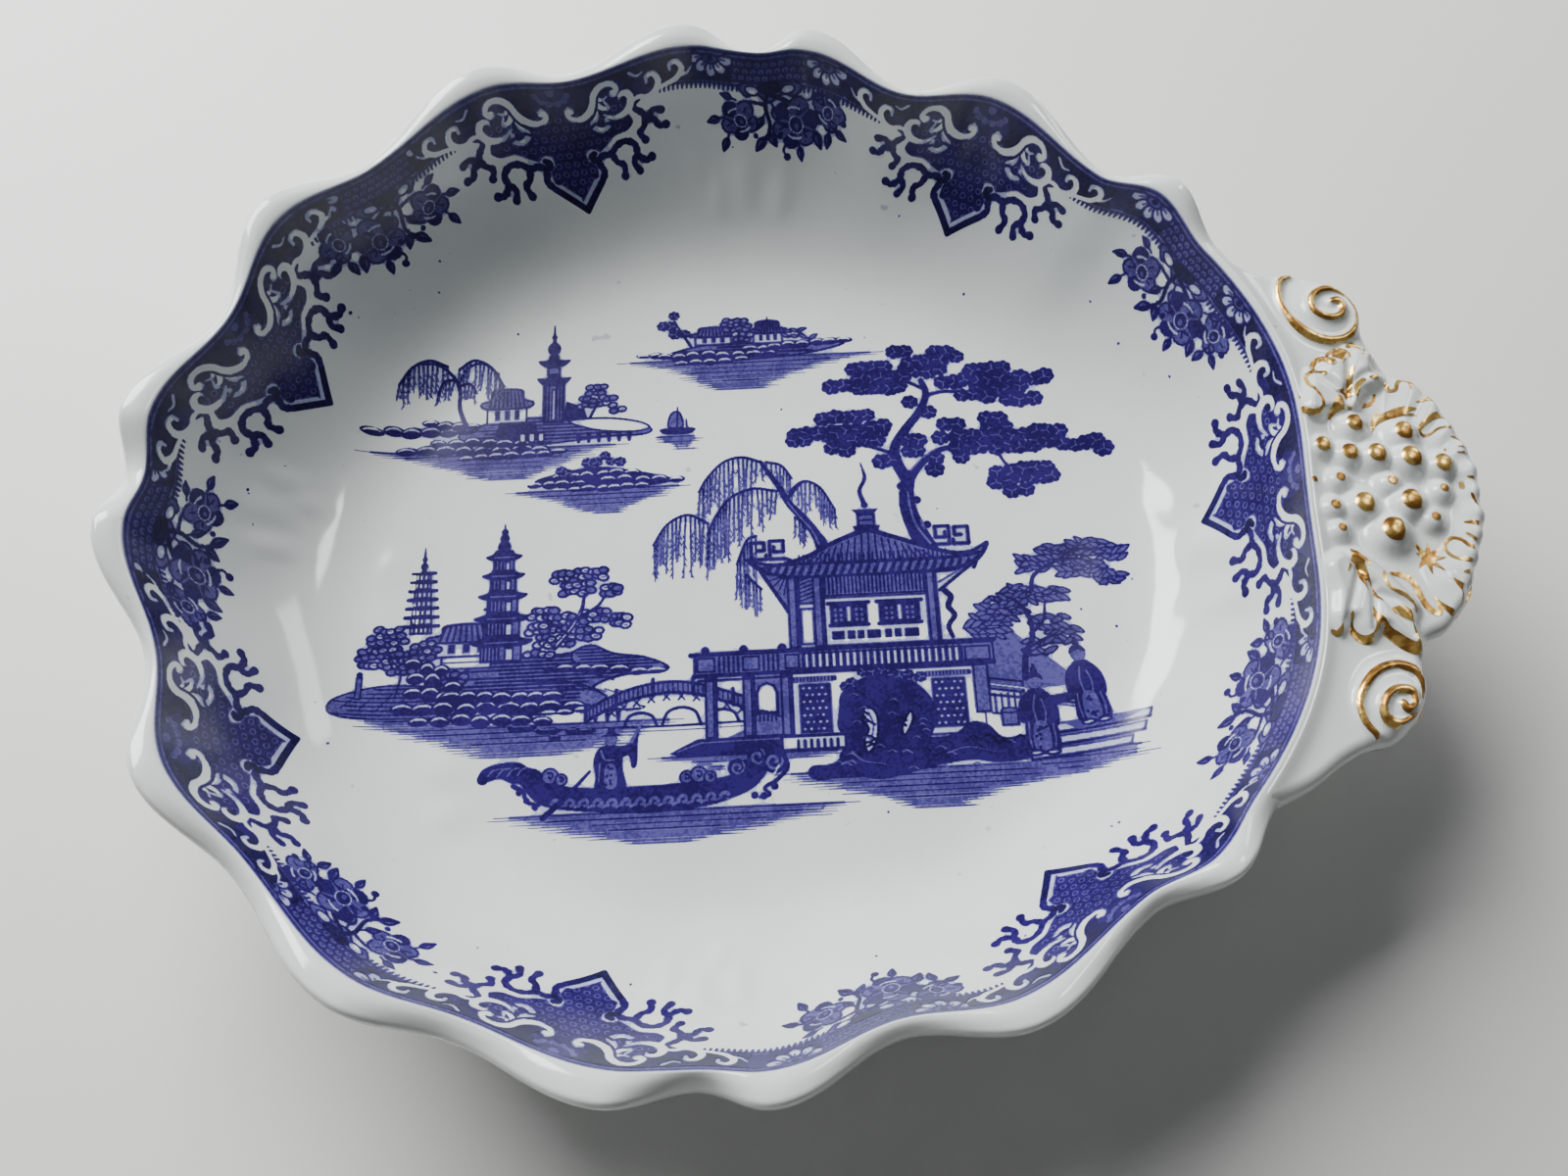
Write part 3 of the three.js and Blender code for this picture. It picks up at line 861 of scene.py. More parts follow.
def ledges(pen, shelves, rng):
    """Several shelves of rock, each given as (x0, x1, y0, y1, depth, lump width)."""
    for *place, bump in shelves:
        ledge(pen, *place, rng, bump)


def rosette_leaf(pen, x, y, radius, rng):
    """An oak leaf cluster: a scalloped dark tuft with paler veins."""
    turn = rng.uniform(0, 360)
    for k in range(7):
        angle = math.radians(turn + k * 360 / 7)
        pen.dot(x + radius * 0.72 * math.cos(angle), y + radius * 0.6 * math.sin(angle), radius * 0.38)
    pen.dot(x, y, radius * 0.72)
    for k in range(3):
        angle = math.radians(turn + 20 + k * 120)
        end = (x + radius * 0.7 * math.cos(angle), y + radius * 0.56 * math.sin(angle))
        pen.line([(x + 0.1, y), end], 0.16, 1, 0.34, False)


def foliage(pen, masses, size, rng, draw, gap=1.35):
    """Scatter leaf tufts over ellipses given as (x, y, half width, half height)."""
    for x, y, rx, ry in masses:
        rows = max(1, int(2 * ry / (size * gap * 0.86)))
        for r in range(rows):
            v = 0 if rows == 1 else -1 + 2 * (r + 0.5) / rows
            half = rx * math.sqrt(max(0.15, 1 - v * v * 0.8))
            count = max(1, int(2 * half / (size * gap)))
            for k in range(count):
                u = 0 if count == 1 else -1 + 2 * (k + 0.5 + 0.25 * (r % 2)) / (count + 0.25)
                at = x + u * half + rng.uniform(-0.35, 0.35), y + v * ry + rng.uniform(-0.35, 0.35)
                draw(pen, *at, size * rng.uniform(0.88, 1.12), rng)


def ring_leaf(pen, x, y, size, rng):
    """A small round leaf in outline."""
    pen.oval(x, y, size * 0.92, size * 0.62, rng.uniform(-15, 15), rng.choice([0, 0.42, 1]), 2, 0.42)
    pen.line([(x - size * 0.3, y), (x + size * 0.3, y)], 0.2, 1, 0.2, False)


def almond_leaf(pen, x, y, size, rng):
    """A pointed leaf in outline, hanging to one side."""
    turned = pen.at(x, y, rng.choice([-35, -20, 10, 30, 150, 200]) + rng.uniform(-12, 12))
    turned.shape([(-size, 0), (0, size * 0.36), (size, 0), (0, -size * 0.36)], 0.6, True, 1.9, 0.34)


def fronds(pen, arch, lengths, rng):
    """Willow strands hanging from an arching twig."""
    path = curve(arch, 10)
    reach = np.interp(np.linspace(0, 1, len(path)), np.linspace(0, 1, len(lengths)), lengths)
    run = np.concatenate([[0], np.cumsum(np.hypot(*np.diff(path, axis=0).T))])
    for at in np.arange(0, run[-1], STRAND_GAP):
        x, y = np.interp(at, run, path[:, 0]), np.interp(at, run, path[:, 1])
        long = np.interp(at, run, reach) * rng.uniform(0.8, 1.3)
        lean = rng.uniform(-0.8, 0.3)
        pen.line([(x, y), (x + lean * 0.6, y - long * 0.5), (x + lean, y - long)], 0.36, 1.9, 0.2)
        for share in np.arange(0.3, 0.95, 1.3 / long):
            low = y - long * share
            side = rng.choice([-1, 1])
            pen.line([(x + lean * share, low), (x + lean * share + 0.5 * side, low - 1.0)], 0.34, 1.25,
                0.14, False)
    pen.line(arch, 0.6, 2, 0.4)


def pagoda(pen, x, y, high, storeys, wide, slim=0.62):
    """A tower of storeys with swept roofs and a spike."""
    pen = pen.at(x, y)
    tower = high * 0.76
    base = 0.0
    for k in range(storeys):
        share = k / storeys
        body = wide * (1 - (1 - slim) * share * 1.25)
        step = tower / storeys * (1.18 - 0.36 * share)
        roof_y = base + step * 0.62
        pen.shape([(-body / 2, base), (body / 2, base), (body / 2, roof_y),
            (-body / 2, roof_y)], 1.25, False, 2, 0.4)
        bars(pen, -body * 0.42, 0, base + 0.2, roof_y - 0.2, 0.75, 0.4, 2)
        pen.shape([(body * 0.1, base + 0.1), (body * 0.3, base + 0.1), (body * 0.3, roof_y - 0.6),
            (body * 0.1, roof_y - 0.6)], 0, False, 2, 0.3)
        eave = body * 0.5 + wide * (0.3 - 0.1 * share)
        roof = [(-eave, roof_y + step * 0.16), (-eave * 0.72, roof_y - 0.1), (0, roof_y - 0.35),
            (eave * 0.72, roof_y - 0.1),
                (eave, roof_y + step * 0.2), (eave * 0.62, roof_y + step * 0.3),
                (body * 0.36, roof_y + step * 0.52), (-body * 0.36, roof_y + step * 0.52),
                (-eave * 0.62, roof_y + step * 0.3)]
        pen.shape(roof, 2.0, True)
        pen.line([(-eave * 0.5, roof_y + step * 0.12), (eave * 0.5, roof_y + step * 0.12)], 0.3, 1, 0.3,
            False)
        base += step
    pen.line([(0, base - 0.4), (0, high)], 0.9, 2, 0.25, False)
    for share, radius in ((0.2, 0.85), (0.5, 0.6), (0.72, 0.45)):
        pen.dot(0, base + (high - base) * share, radius * wide / 5, 2)


def house(pen, x, y, wide, high):
    """A small hall with a hipped roof."""
    pen = pen.at(x, y)
    pen.shape([(-wide / 2, 0), (wide / 2, 0), (wide / 2, high * 0.5),
        (-wide / 2, high * 0.5)], 0, False, 2, 0.4)
    for k in range(3):
        pen.shape([(-wide * 0.3 + k * wide * 0.25, high * 0.12),
            (-wide * 0.18 + k * wide * 0.25, high * 0.12),
                   (-wide * 0.18 + k * wide * 0.25, high * 0.4),
                   (-wide * 0.3 + k * wide * 0.25, high * 0.4)], 1.8, False)
    roof = [(-wide * 0.66, high * 0.62), (-wide * 0.5, high * 0.46), (wide * 0.5, high * 0.46),
        (wide * 0.66, high * 0.62),
            (wide * 0.42, high * 0.72), (wide * 0.34, high), (-wide * 0.34, high),
            (-wide * 0.42, high * 0.72)]
    pen.shape(roof, 1.35, True, 2, 0.45)
    for k in range(9):
        share = -0.44 + 0.88 * k / 8
        pen.line([(wide * share * 0.8, high * 0.95), (wide * share, high * 0.52)], 0.4, 2, 0.4, False)


def bench_bridge(pen):
    """An arched footbridge with three spans and a railing."""
    top = [(-31.5, -31.6), (-27, -29.2), (-22, -27.4), (-16, -26.4), (-10, -26.8), (-4, -28.6),
        (2, -30.8), (8.5, -32.8)]
    deck = curve(top, 6)
    low = [(x, y - 2.3) for x, y in deck]
    pen.shape(list(deck) + low[::-1], 1.2, False)
    pen.line(deck[::3], 0.5, 2)
    pen.line(low[::3], 0.55, 2)
    for x, y in deck:
        pen.line([(x, y), (x, y - 2.3)], 0.3, 2, 0.3, False)
    for x, y in deck[::8]:
        pen.line([(x, y + 0.9), (x, y - 2.4)], 0.75, 2, 0.75, False)
    water_y = -35.2
    for x, half in ((-20.6, 3.2), (-12.4, 3.8), (-4.2, 3.2)):
        rise = 3.4 if half > 3.5 else 2.6
        arch = [(x - half, water_y + 0.1), (x - half * 0.7, water_y + rise * 0.75), (x, water_y + rise),
            (x + half * 0.7, water_y + rise * 0.75), (x + half, water_y + 0.1)]
        pen.line(arch, 0.55, 2)
    for x, y in low[6:-8:3]:
        pen.line([(x, y), (x + 1.3, y - 1.5)], 0.3, 1.9, 0.3, False)
        pen.line([(x + 1.3, y), (x, y - 1.5)], 0.3, 1.9, 0.3, False)
    pen.line([(-26, -35.4), (-14, -35.5), (2, -35.2), (9, -34.6)], 0.5, 2, 0.3)
    pen.line([(-30, -36.2), (-14, -36.4), (0, -36.2)], 0.25, 1, 0.2)


def robed_figure(pen, x, y, high, lean, rng):
    """A small robed figure in silhouette."""
    pen = pen.at(x, y, lean, high / 18.0)
    pen.shape([(-2.9, 0.4), (2.9, 0.2), (3.1, 5.5), (2.3, 9.8), (1.5, 12.6), (-1.5, 12.6), (-2.4, 9.4),
        (-3.0, 5.0)], 2.0)
    pen.shape([(-1.5, 12.2), (-3.4, 10.6), (-3.9, 7.0), (-2.8, 6.2), (-1.6, 8.8)], 2.1)
    pen.shape([(1.5, 12.2), (3.3, 10.4), (3.9, 7.4), (3.2, 5.2), (1.8, 8.2)], 2.1)
    pen.shape([(-1.5, 0.9), (1.4, 0.9), (1.2, 5.8), (-1.2, 5.8)], 0.9)
    for k in range(9):
        pen.dot(rng.uniform(-1.3, 1.3), rng.uniform(1.2, 5.4), 0.36, 2)
    pen.line([(-0.6, 6.2), (-0.9, 9.0), (-0.3, 11.6)], 0.3, 0.6, 0.25)
    pen.line([(1.0, 6.0), (1.3, 8.4), (0.8, 10.6)], 0.25, 0.8, 0.25)
    pen.line([(-2.2, 6.2), (-2.4, 3.4), (-2.2, 1.2)], 0.3, 1, 0.25)
    pen.line([(2.3, 5.6), (2.5, 3.0), (2.2, 1.0)], 0.3, 1, 0.25)
    pen.oval(-1.5, 0.2, 1.3, 0.5, 0, 0.4, 2, 0.4)
    pen.oval(1.6, 0.1, 1.3, 0.5, 0, 0.4, 2, 0.4)
    pen.dot(0.1, 14.2, 1.35, 0.5, 2, 0.35)
    pen.shape([(-1.6, 14.5), (-0.9, 15.9), (0.9, 16.0), (1.8, 14.5), (0.2, 15.0)], 2)
    pen.dot(0.2, 16.5, 0.7, 2)
    pen.dot(0.2, 17.5, 0.35, 2)


def boatman(pen, x, y, high, rng):
    """A standing boatman with a wide sleeve raised, in silhouette."""
    pen = pen.at(x, y, 0, high / 14.0)
    pen.shape([(-2.6, 0), (2.9, 0), (2.4, 4.6), (2.2, 8.6), (-1.6, 9.0), (-3.2, 6.4), (-2.8, 3.0)], 2.0)
    pen.shape([(1.2, 8.6), (4.0, 9.6), (6.4, 14.2), (5.4, 10.2), (5.2, 5.2), (4.2, 4.6), (3.6, 7.0),
        (1.6, 6.4)], 2.0)
    pen.line([(4.2, 9.8), (6.6, 14.0)], 0.8, 1, 0.3, False)
    pen.dot(0.1, 10.2, 1.05, 0.5, 2, 0.35)
    pen.shape([(-1.9, 10.9), (-0.6, 11.6), (-0.4, 12.5), (0.8, 12.5), (1.1, 11.6), (2.0, 11.0)], 2)
    pen.shape([(-1.0, 1.0), (1.2, 1.0), (1.0, 5.0), (-0.8, 5.2)], 0.95)
    for k in range(8):
        pen.dot(rng.uniform(-0.9, 1.1), rng.uniform(1.0, 5.0), 0.32, 2)
    pen.line([(-1.8, 8.2), (-1.0, 6.4), (0.8, 6.2)], 0.28, 0.7, 0.25)
    pen.line([(-2.0, 5.6), (-2.2, 2.0)], 0.28, 0.9, 0.25)


def carved_boat(pen):
    """A long boat with carved, curling ends."""
    hull = [(-46.5, -43.5), (-44, -45.8), (-40.2, -49.8), (-33, -51.4), (-20, -52.4), (-8, -51.6),
        (0, -49.2), (3.4, -46.4),
            (4.2, -43.6), (2.2, -42.8), (-1, -45.6), (-8, -47.0), (-20, -47.6), (-32, -47.4),
            (-38, -46.2), (-41.4, -43.2)]
    pen.shape(hull, 1.6, True, 2, 0.5)
    pen.line([(-39.5, -46.4), (-32, -48.0), (-20, -48.5), (-8, -47.8), (-1, -46.4),
        (2.4, -44.2)], 1.1, 2.1, 0.9)
    # scrollwork along the hull
    for k in range(13):
        x = -37 + k * 2.75
        y = -50.0 - 0.55 * math.sin(math.pi * (k + 1) / 14)
        pen.line(curl(x, y, 1.05, 200, -300, 0.3, 9), 0.42, 0.9, 0.34)
        pen.line([(x + 0.7, y - 0.7), (x + 1.9, y - 0.2)], 0.36, 0.42, 0.2, False)
    pen.line([(-38.5, -50.4), (-30, -51.7), (-20, -52.1), (-8, -51.4), (-0.5, -49.2)], 0.3, 2, 0.3)
    # the stern's plume
    plume = [(-52.4, -44.4), (-51.6, -42.6), (-48.6, -41.6), (-44.8, -41.5), (-42.4, -43.2),
        (-42.8, -45.2), (-45.4, -45.8), (-48.2, -44.6), (-50.4, -45.0)]
    pen.shape(plume, 2.0)
    for k in range(4):
        pen.line([(-50.8 + k * 2.0, -44.2), (-49.6 + k * 1.9, -42.9),
            (-47.8 + k * 1.7, -42.6)], 0.28, 1, 0.2)
    pen.dot(-51.6, -44.6, 1.1, 2)
    pen.line([(-45.6, -46.2), (-43.6, -47.4), (-42.8, -49.4), (-40.4, -50.2)], 0.9, 2, 0.6)
    for x, y in ((-44.4, -47.6), (-42.9, -49.2), (-41.2, -50.6)):
        pen.dot(x, y, 0.6, 2)
    # curls on the gunwale
    for x, y, r in ((-38.4, -44.6, 1.4), (-36.2, -45.4, 1.0), (-11.6, -46.0, 1.1), (-9.2, -45.6, 1.4),
            (-7.0, -46.2, 1.0)):
        pen.dot(x, y, r, 1.2, 2, 0.7)
        pen.line(curl(x, y, r * 0.6, 120, -280, 0.3, 8), 0.3, 2, 0.25)
    # the prow's scrolls
    for x, y, r, start in ((-1.6, -44.6, 2.0, 40), (2.4, -42.6, 2.2, 60), (5.6, -43.6, 2.4, 20)):
        pen.dot(x, y, r * 0.95, 1.7)
        pen.line(curl(x, y, r * 0.8, start, -430, 0.25, 22), 0.4, 0.6, 0.3)
        pen.line(curl(x, y, r, start, -330, 0.6, 22), 0.75, 2, 0.45)
    pen.line([(7.6, -42.4), (8.2, -45.0), (6.0, -47.4), (3.6, -48.8), (4.6, -50.2),
        (2.6, -50.6)], 0.9, 2, 0.5)
    pen.line([(6.6, -44.4), (5.4, -46.2), (3.0, -47.2)], 0.4, 0, 0.25)
    for x, y in ((3.4, -50.4), (1.6, -50.2), (5.6, -48.6)):
        pen.dot(x, y, 0.7, 2)
    # the oar
    pen.line([(-30.6, -44.0), (-35.0, -48.6), (-39.6, -52.8)], 0.5, 2, 1.2)


def meander(pen, x, y, side):
    """A squared key ornament at the end of a ridge."""
    pen = pen.at(x, y, 0, 1, side)
    pen.line([(-3.6, -2.2), (-3.6, 1.6), (-0.8, 1.6), (-0.8, -0.2), (-2.2, -0.2)], 0.75, 2, smooth=False)
    pen.line([(-3.6, -2.2), (-0.4, -2.2), (-0.4, -1.2)], 0.75, 2, smooth=False)
    pen.line([(0.4, 1.9), (3.2, 1.9), (3.2, -0.6), (1.2, -0.6), (1.2, 0.6)], 0.75, 2, smooth=False)
    pen.line([(0.4, 1.9), (0.4, -2.2), (3.4, -2.2), (4.6, -2.6)], 0.75, 2, smooth=False)


def bars(pen, x0, x1, y0, y1, pitch, wide, tone):
    """Upright bars between two heights."""
    for x in np.arange(x0, x1 + 0.01, pitch):
        pen.line([(x, y0), (x, y1)], wide, tone, wide, False)


def box(pen, x0, x1, y0, y1, tone, edge=2, edge_wide=0.4):
    pen.shape([(x0, y0), (x1, y0), (x1, y1), (x0, y1)], tone, False, edge, edge_wide)


def lattice(pen, x0, x1, y0, y1, pitch):
    """A dark screen pierced with small pale lozenges."""
    box(pen, x0, x1, y0, y1, 2)
    rows = int((y1 - y0) / pitch)
    for r in range(rows):
        y = y0 + (r + 0.5) * (y1 - y0) / rows
        for x in np.arange(x0 + 0.7 + (r % 2) * pitch / 2, x1 - 0.5, pitch):
            pen.oval(x, y, 0.34, 0.3, 0, 0.3)


def pavilion(pen):
    """A two-storey waterside pavilion with a balcony."""
    # spire and lantern
    pen.line([(26.9, 11.0), (26.2, 14.0), (27.6, 17.0), (26.8, 20.4)], 1.1, 1.6, 0.25)
    pen.line([(26.9, 11.0), (26.0, 14.0), (27.2, 17.0), (26.8, 20.6)], 0.35, 2, 0.2)
    pen.dot(27.0, 10.6, 0.75, 2)
    pen.shape([(24.2, 9.6), (29.8, 9.6), (28.6, 8.4), (25.4, 8.4)], 2, False)
    box(pen, 25.4, 28.8, 5.8, 8.4, 1.3)
    pen.line([(25.5, 7.1), (28.7, 7.1)], 0.3, 2, smooth=False)
    pen.shape([(24.2, 5.8), (30.0, 5.8), (29.4, 4.4), (24.8, 4.4)], 2, False)
    # roof
    roof = [(27.2, 4.9), (34, 2.4), (40, 0.2), (45.5, -1.2), (49, -0.8), (52, 0.8), (50.6, -1.8),
        (46.6, -4.2), (40, -5.0),
            (27, -5.2), (14, -5.2), (7.6, -4.6), (4.4, -3.2), (1.8, -0.8), (5.4, -1.9), (9.5, -2.0),
            (14.4, -0.6), (21, 2.6)]
    pen.shape(roof, 1.3, True, 2, 0.6)
    bars(pen, 12.6, 43.4, -2.3, -0.2, 0.9, 0.28, 2)
    for k in range(17):
        x = 14.5 + k * 1.6
        top = 4.2 - abs(x - 27.2) * 0.36
        pen.line([(27.2 + (x - 27.2) * 0.86, top), (x, -1.8)], 0.32, 2, 0.3, False)
    pen.line([(4.6, -2.9), (9.5, -2.2), (27, -2.3), (44, -2.2), (50.2, -1.4)], 0.6, 2)
    for k in range(26):
        x = 5.8 + k * 1.72
        pen.line([(x + 0.8, -2.7), (x + 0.35, -3.8), (x - 0.1, -4.7)], 0.6, 2, 0.75)
    pen.line([(27.2, 5.0), (20.6, 2.6), (14.2, -0.6), (9.4, -2.0)], 1.0, 2, 0.7)
    pen.line([(27.2, 5.0), (34.2, 2.4), (41, -0.2), (46, -1.6)], 1.0, 2, 0.7)
    pen.line([(2.0, -0.9), (4.6, -3.2), (8, -4.7), (14, -5.3), (40, -5.2), (46.6, -4.3), (50.4, -2.0),
        (51.9, 0.6)], 0.8, 2)
    meander(pen, 6.2, 1.4, 1)
    meander(pen, 44.6, 3.0, -1)
    # brackets under the eaves
    pen.shape([(4.8, -3.9), (10.2, -5.0), (10.2, -12.8)], 1.2, False, 2, 0.5)
    pen.line([(4.2, -2.9), (10.0, -12.8)], 0.8, 2, smooth=False)
    for k in range(5):
        pen.line([(6.4 + k * 0.9, -5.6 - k * 1.1), (8.8 + k * 0.4, -4.8)], 0.28, 2, smooth=False)
    pen.line([(50.0, -2.6), (41.2, -9.4)], 0.7, 2, smooth=False)
    pen.line([(47.0, -4.4), (41.2, -7.6)], 0.4, 1.5, smooth=False)
    # upper storey
    box(pen, 12.2, 15.2, -11.0, -5.2, 1.2)
    for k in range(6):
        pen.line([(12.3, -6.0 - k * 0.9), (15.1, -5.0 - k * 0.9)], 0.28, 2, smooth=False)
    box(pen, 12.4, 15.0, -19.8, -12.2, 0)
    box(pen, 17.2, 38.4, -20.4, -5.2, 0)
    box(pen, 17.2, 38.4, -9.6, -5.2, 1.3)
    bars(pen, 17.6, 38.2, -9.0, -5.4, 0.82, 0.34, 2)
    pen.line([(17.2, -10.0), (38.4, -10.0)], 0.35, 2, smooth=False)
    for x0, x1 in ((18.6, 25.8), (28.6, 36.6)):
        box(pen, x0, x1, -16.0, -11.4, 2)
        pen.line([(x0 - 0.6, -11.3), (x1 + 0.6, -11.3)], 0.8, 2, smooth=False)
        pen.line([(x0 - 0.4, -16.1), (x1 + 0.4, -16.1)], 0.7, 2, smooth=False)
        middle = (x0 + x1) / 2
        box(pen, middle - 0.55, middle + 0.55, -15.4, -12.0, 0, 2, 0.3)
        for side in (-1, 1):
            for r in range(3):
                for c in range(2):
                    pen.oval(middle + side * (1.6 + c * 1.1), -12.8 - r * 1.1, 0.3, 0.36, 0, 0.6)
    for x0, wide in ((18.8, 2.0), (22.0, 1.0), (24.0, 0.9), (26.0, 2.2), (29.6, 0.9), (31.5, 0.9),
            (33.6, 2.4)):
        box(pen, x0, x0 + wide, -18.9, -17.6, 1.8, 2, 0.45)
    for x in (11.0, 16.2, 39.6):
        box(pen, x - 1.0, x + 1.0, -20.4, -5.2, 1.2, 2, 0.42)
        pen.line([(x + 0.45, -20), (x + 0.45, -5.6)], 0.4, 1.8, smooth=False)
    pen.line([(42.2, -9.6), (43.4, -11.0), (42.6, -13.0), (43.8, -15.0), (42.4, -17.2),
        (43.0, -19.6)], 1.2, 2, 0.8)
    # balcony
    box(pen, -9.6, 50.8, -25.6, -21.0, 1.2)
    box(pen, 11.6, 44.6, -24.9, -21.8, 0, 2, 0.3)
    bars(pen, 12.4, 44.4, -24.8, -21.8, 1.38, 0.78, 2)
    bars(pen, -4.6, -0.8, -24.8, -21.8, 0.95, 0.45, 2)
    bars(pen, 4.4, 8.0, -24.8, -21.8, 0.95, 0.45, 2)
    for x0, x1 in ((-9.0, -5.6), (0.2, 3.4), (8.8, 11.4), (45.2, 50.0)):
        box(pen, x0, x1, -24.7, -21.9, 1, 2, 0.4)
    pen.line([(-10.4, -21.1), (51.2, -20.6)], 0.95, 2, smooth=False)
    pen.line([(-9.8, -25.6), (50.8, -25.2)], 0.85, 2, smooth=False)
    for x in (-7.4, 0.4, 8.2):
        pen.dot(x, -20.2, 0.85, 2)
    # lower storey, seen between its columns
    box(pen, 9.6, 48.0, -38.6, -25.9, 0, 2, 0.3)
    pen.shape([(-3.6, -38.6), (9.0, -33.4), (9.0, -38.8)], 1.4, False)
    box(pen, 0.6, 8.6, -38.4, -26.4, 1.25, 2, 0.3)
    arch = [(2.8, -33.8), (2.8, -29.6), (3.4, -28.2), (4.8, -27.6), (6.2, -28.2), (6.8, -29.6),
        (6.8, -33.8)]
    pen.shape(arch, 0, False, 2, 0.5)
    pen.line([(1.6, -33.0), (4.6, -33.6), (7.2, -34.6)], 0.5, 2, 0.5)
    bars(pen, 2.4, 6.6, -35.4, -33.6, 0.8, 0.34, 2)
    for x, foot in ((-6.4, -38.4), (1.2, -38.4), (8.8, -38.6)):
        box(pen, x - 1.05, x + 1.05, foot, -26.0, 1.2, 2, 0.42)
        pen.line([(x + 0.5, foot + 0.4), (x + 0.5, -26.4)], 0.45, 1.8, smooth=False)
    box(pen, 46.4, 49.2, -35.6, -25.8, 1.2, 2, 0.42)
    pen.line([(-9.0, -26.6), (9.6, -26.4)], 0.5, 2, smooth=False)
    for x0, x1 in ((10.6, 18.2), (37.2, 45.2)):
        pen.line([(x0 - 0.2, -27.3), (x1 + 0.2, -27.2)], 1.1, 2, smooth=False)
        bars(pen, x0, x1, -27.6, -26.9, 0.7, 0.25, 0.5)
        lattice(pen, x0 + 0.8, x1 - 0.8, -38.2, -28.4, 1.25)
        pen.line([((x0 + x1) / 2, -38), ((x0 + x1) / 2, -28.6)], 0.45, 2, smooth=False)
    # the quay it stands on
    pen.shape([(-14.8, -41.2), (-9.4, -38.6), (7.4, -38.4), (7.4, -41.8), (-12.4, -42.2)], 2.1, False)
    pen.line([(-13.4, -40.9), (-8.6, -39.3), (7.0, -39.1)], 0.3, 1, smooth=False)
    box(pen, 7.4, 20, -41.6, -38.9, 0, 2, 0.5)
    bars(pen, 10.6, 19.6, -41.2, -39.8, 1.3, 0.55, 2)
    box(pen, 36, 47, -39.8, -38.2, 0, 2, 0.4)


def garden_rock(pen, rng):
    """A pierced garden rock, its low neighbours and the plants on it."""
    low = [(12.4, -47.0), (13.0, -45.0), (17.4, -44.6), (20.2, -41.6), (24, -41), (34, -40.4),
        (41, -40.0), (45, -37.6),
           (48.4, -38.4), (51, -41.0), (56, -40.8), (58.4, -42.6), (56.6, -45.2), (50, -46.0),
           (44, -45.2), (36, -46.4), (27, -48.2), (20, -47.2), (15, -48.0)]
    pen.shape(low, 2.2)
    rock = [(19.0, -33.6), (19.6, -30.6), (22.4, -28.4), (26.6, -26.6), (31.4, -27.0), (35.4, -29.6),
        (37.8, -33.0), (38.0, -37.2),
            (36.4, -41.4), (36.8, -44.0), (30, -46.4), (24, -45.8), (18.6, -43.6), (20.4, -40.4),
            (18.6, -37.6)]
    pen.shape(rock, 2.2)
    pen.shape([(24.2, -33.6), (26.2, -34.6), (26.6, -37.8), (25.8, -41.2), (24.2, -42.8), (23.6, -40.4),
        (24.6, -38.0), (23.6, -36.0)], 0, True, 3, 0.4)
    pen.line([(24.8, -34.6), (25.6, -37.4), (24.8, -41.0)], 0.35, 1, 0.25)
    pen.shape([(33.0, -34.8), (33.6, -36.4), (31.8, -39.6), (31.2, -38.0)], 0, True, 3, 0.4)
    pen.oval(28.4, -32.6, 3.2, 2.0, 20, 2.0)
    pen.oval(33.0, -31.8, 1.9, 1.5, -20, 1.5)
    # engraved scratches: how many, where, the bent stroke's reach, and its line
    for count, across, down, (left, high, right, low_end), line in (
            (16, (20.5, 35.5), (-43.6, -29.6), (1.3, 0.5, 1.2, 0.2), (0.24, 2.7, 0.4)),
            (13, (20.5, 36.0), (-44.0, -29.0), (0.9, 0.4, 0.8, 0.1), (0.2, 1.2, 0.3)),
            (13, (18, 55), (-46.4, -41.4), (1.1, 0.4, 1.0, 0.2), (0.2, 1.2, 0.3)),
            (14, (38, 56), (-44.6, -40.6), (1.3, 0.6, 1.4, 0.3), (0.3, 2.9, 0.4))):
        for _ in range(count):
            x, y = rng.uniform(*across), rng.uniform(*down)
            pen.line([(x - left, y), (x, y + high), (x + right, y - low_end)], *line)
    foliage(pen, [(21.4, -28.8, 1.8, 1.0), (26.4, -26.2, 3.2, 1.0), (31.8, -27.2, 2.6, 1.0),
        (35.0, -28.0, 1.8, 0.8)], 1.25, rng, rosette_leaf)
    # shaded holes get a soft darker edge, as engraved rock does
    pen.line([(21.0, -42.4), (23.2, -44.4), (27.4, -45.2)], 0.3, 1, 0.2)
    pen.line([(39.8, -43.6), (44, -42.6), (49, -43.8)], 0.3, 1.1, 0.2)


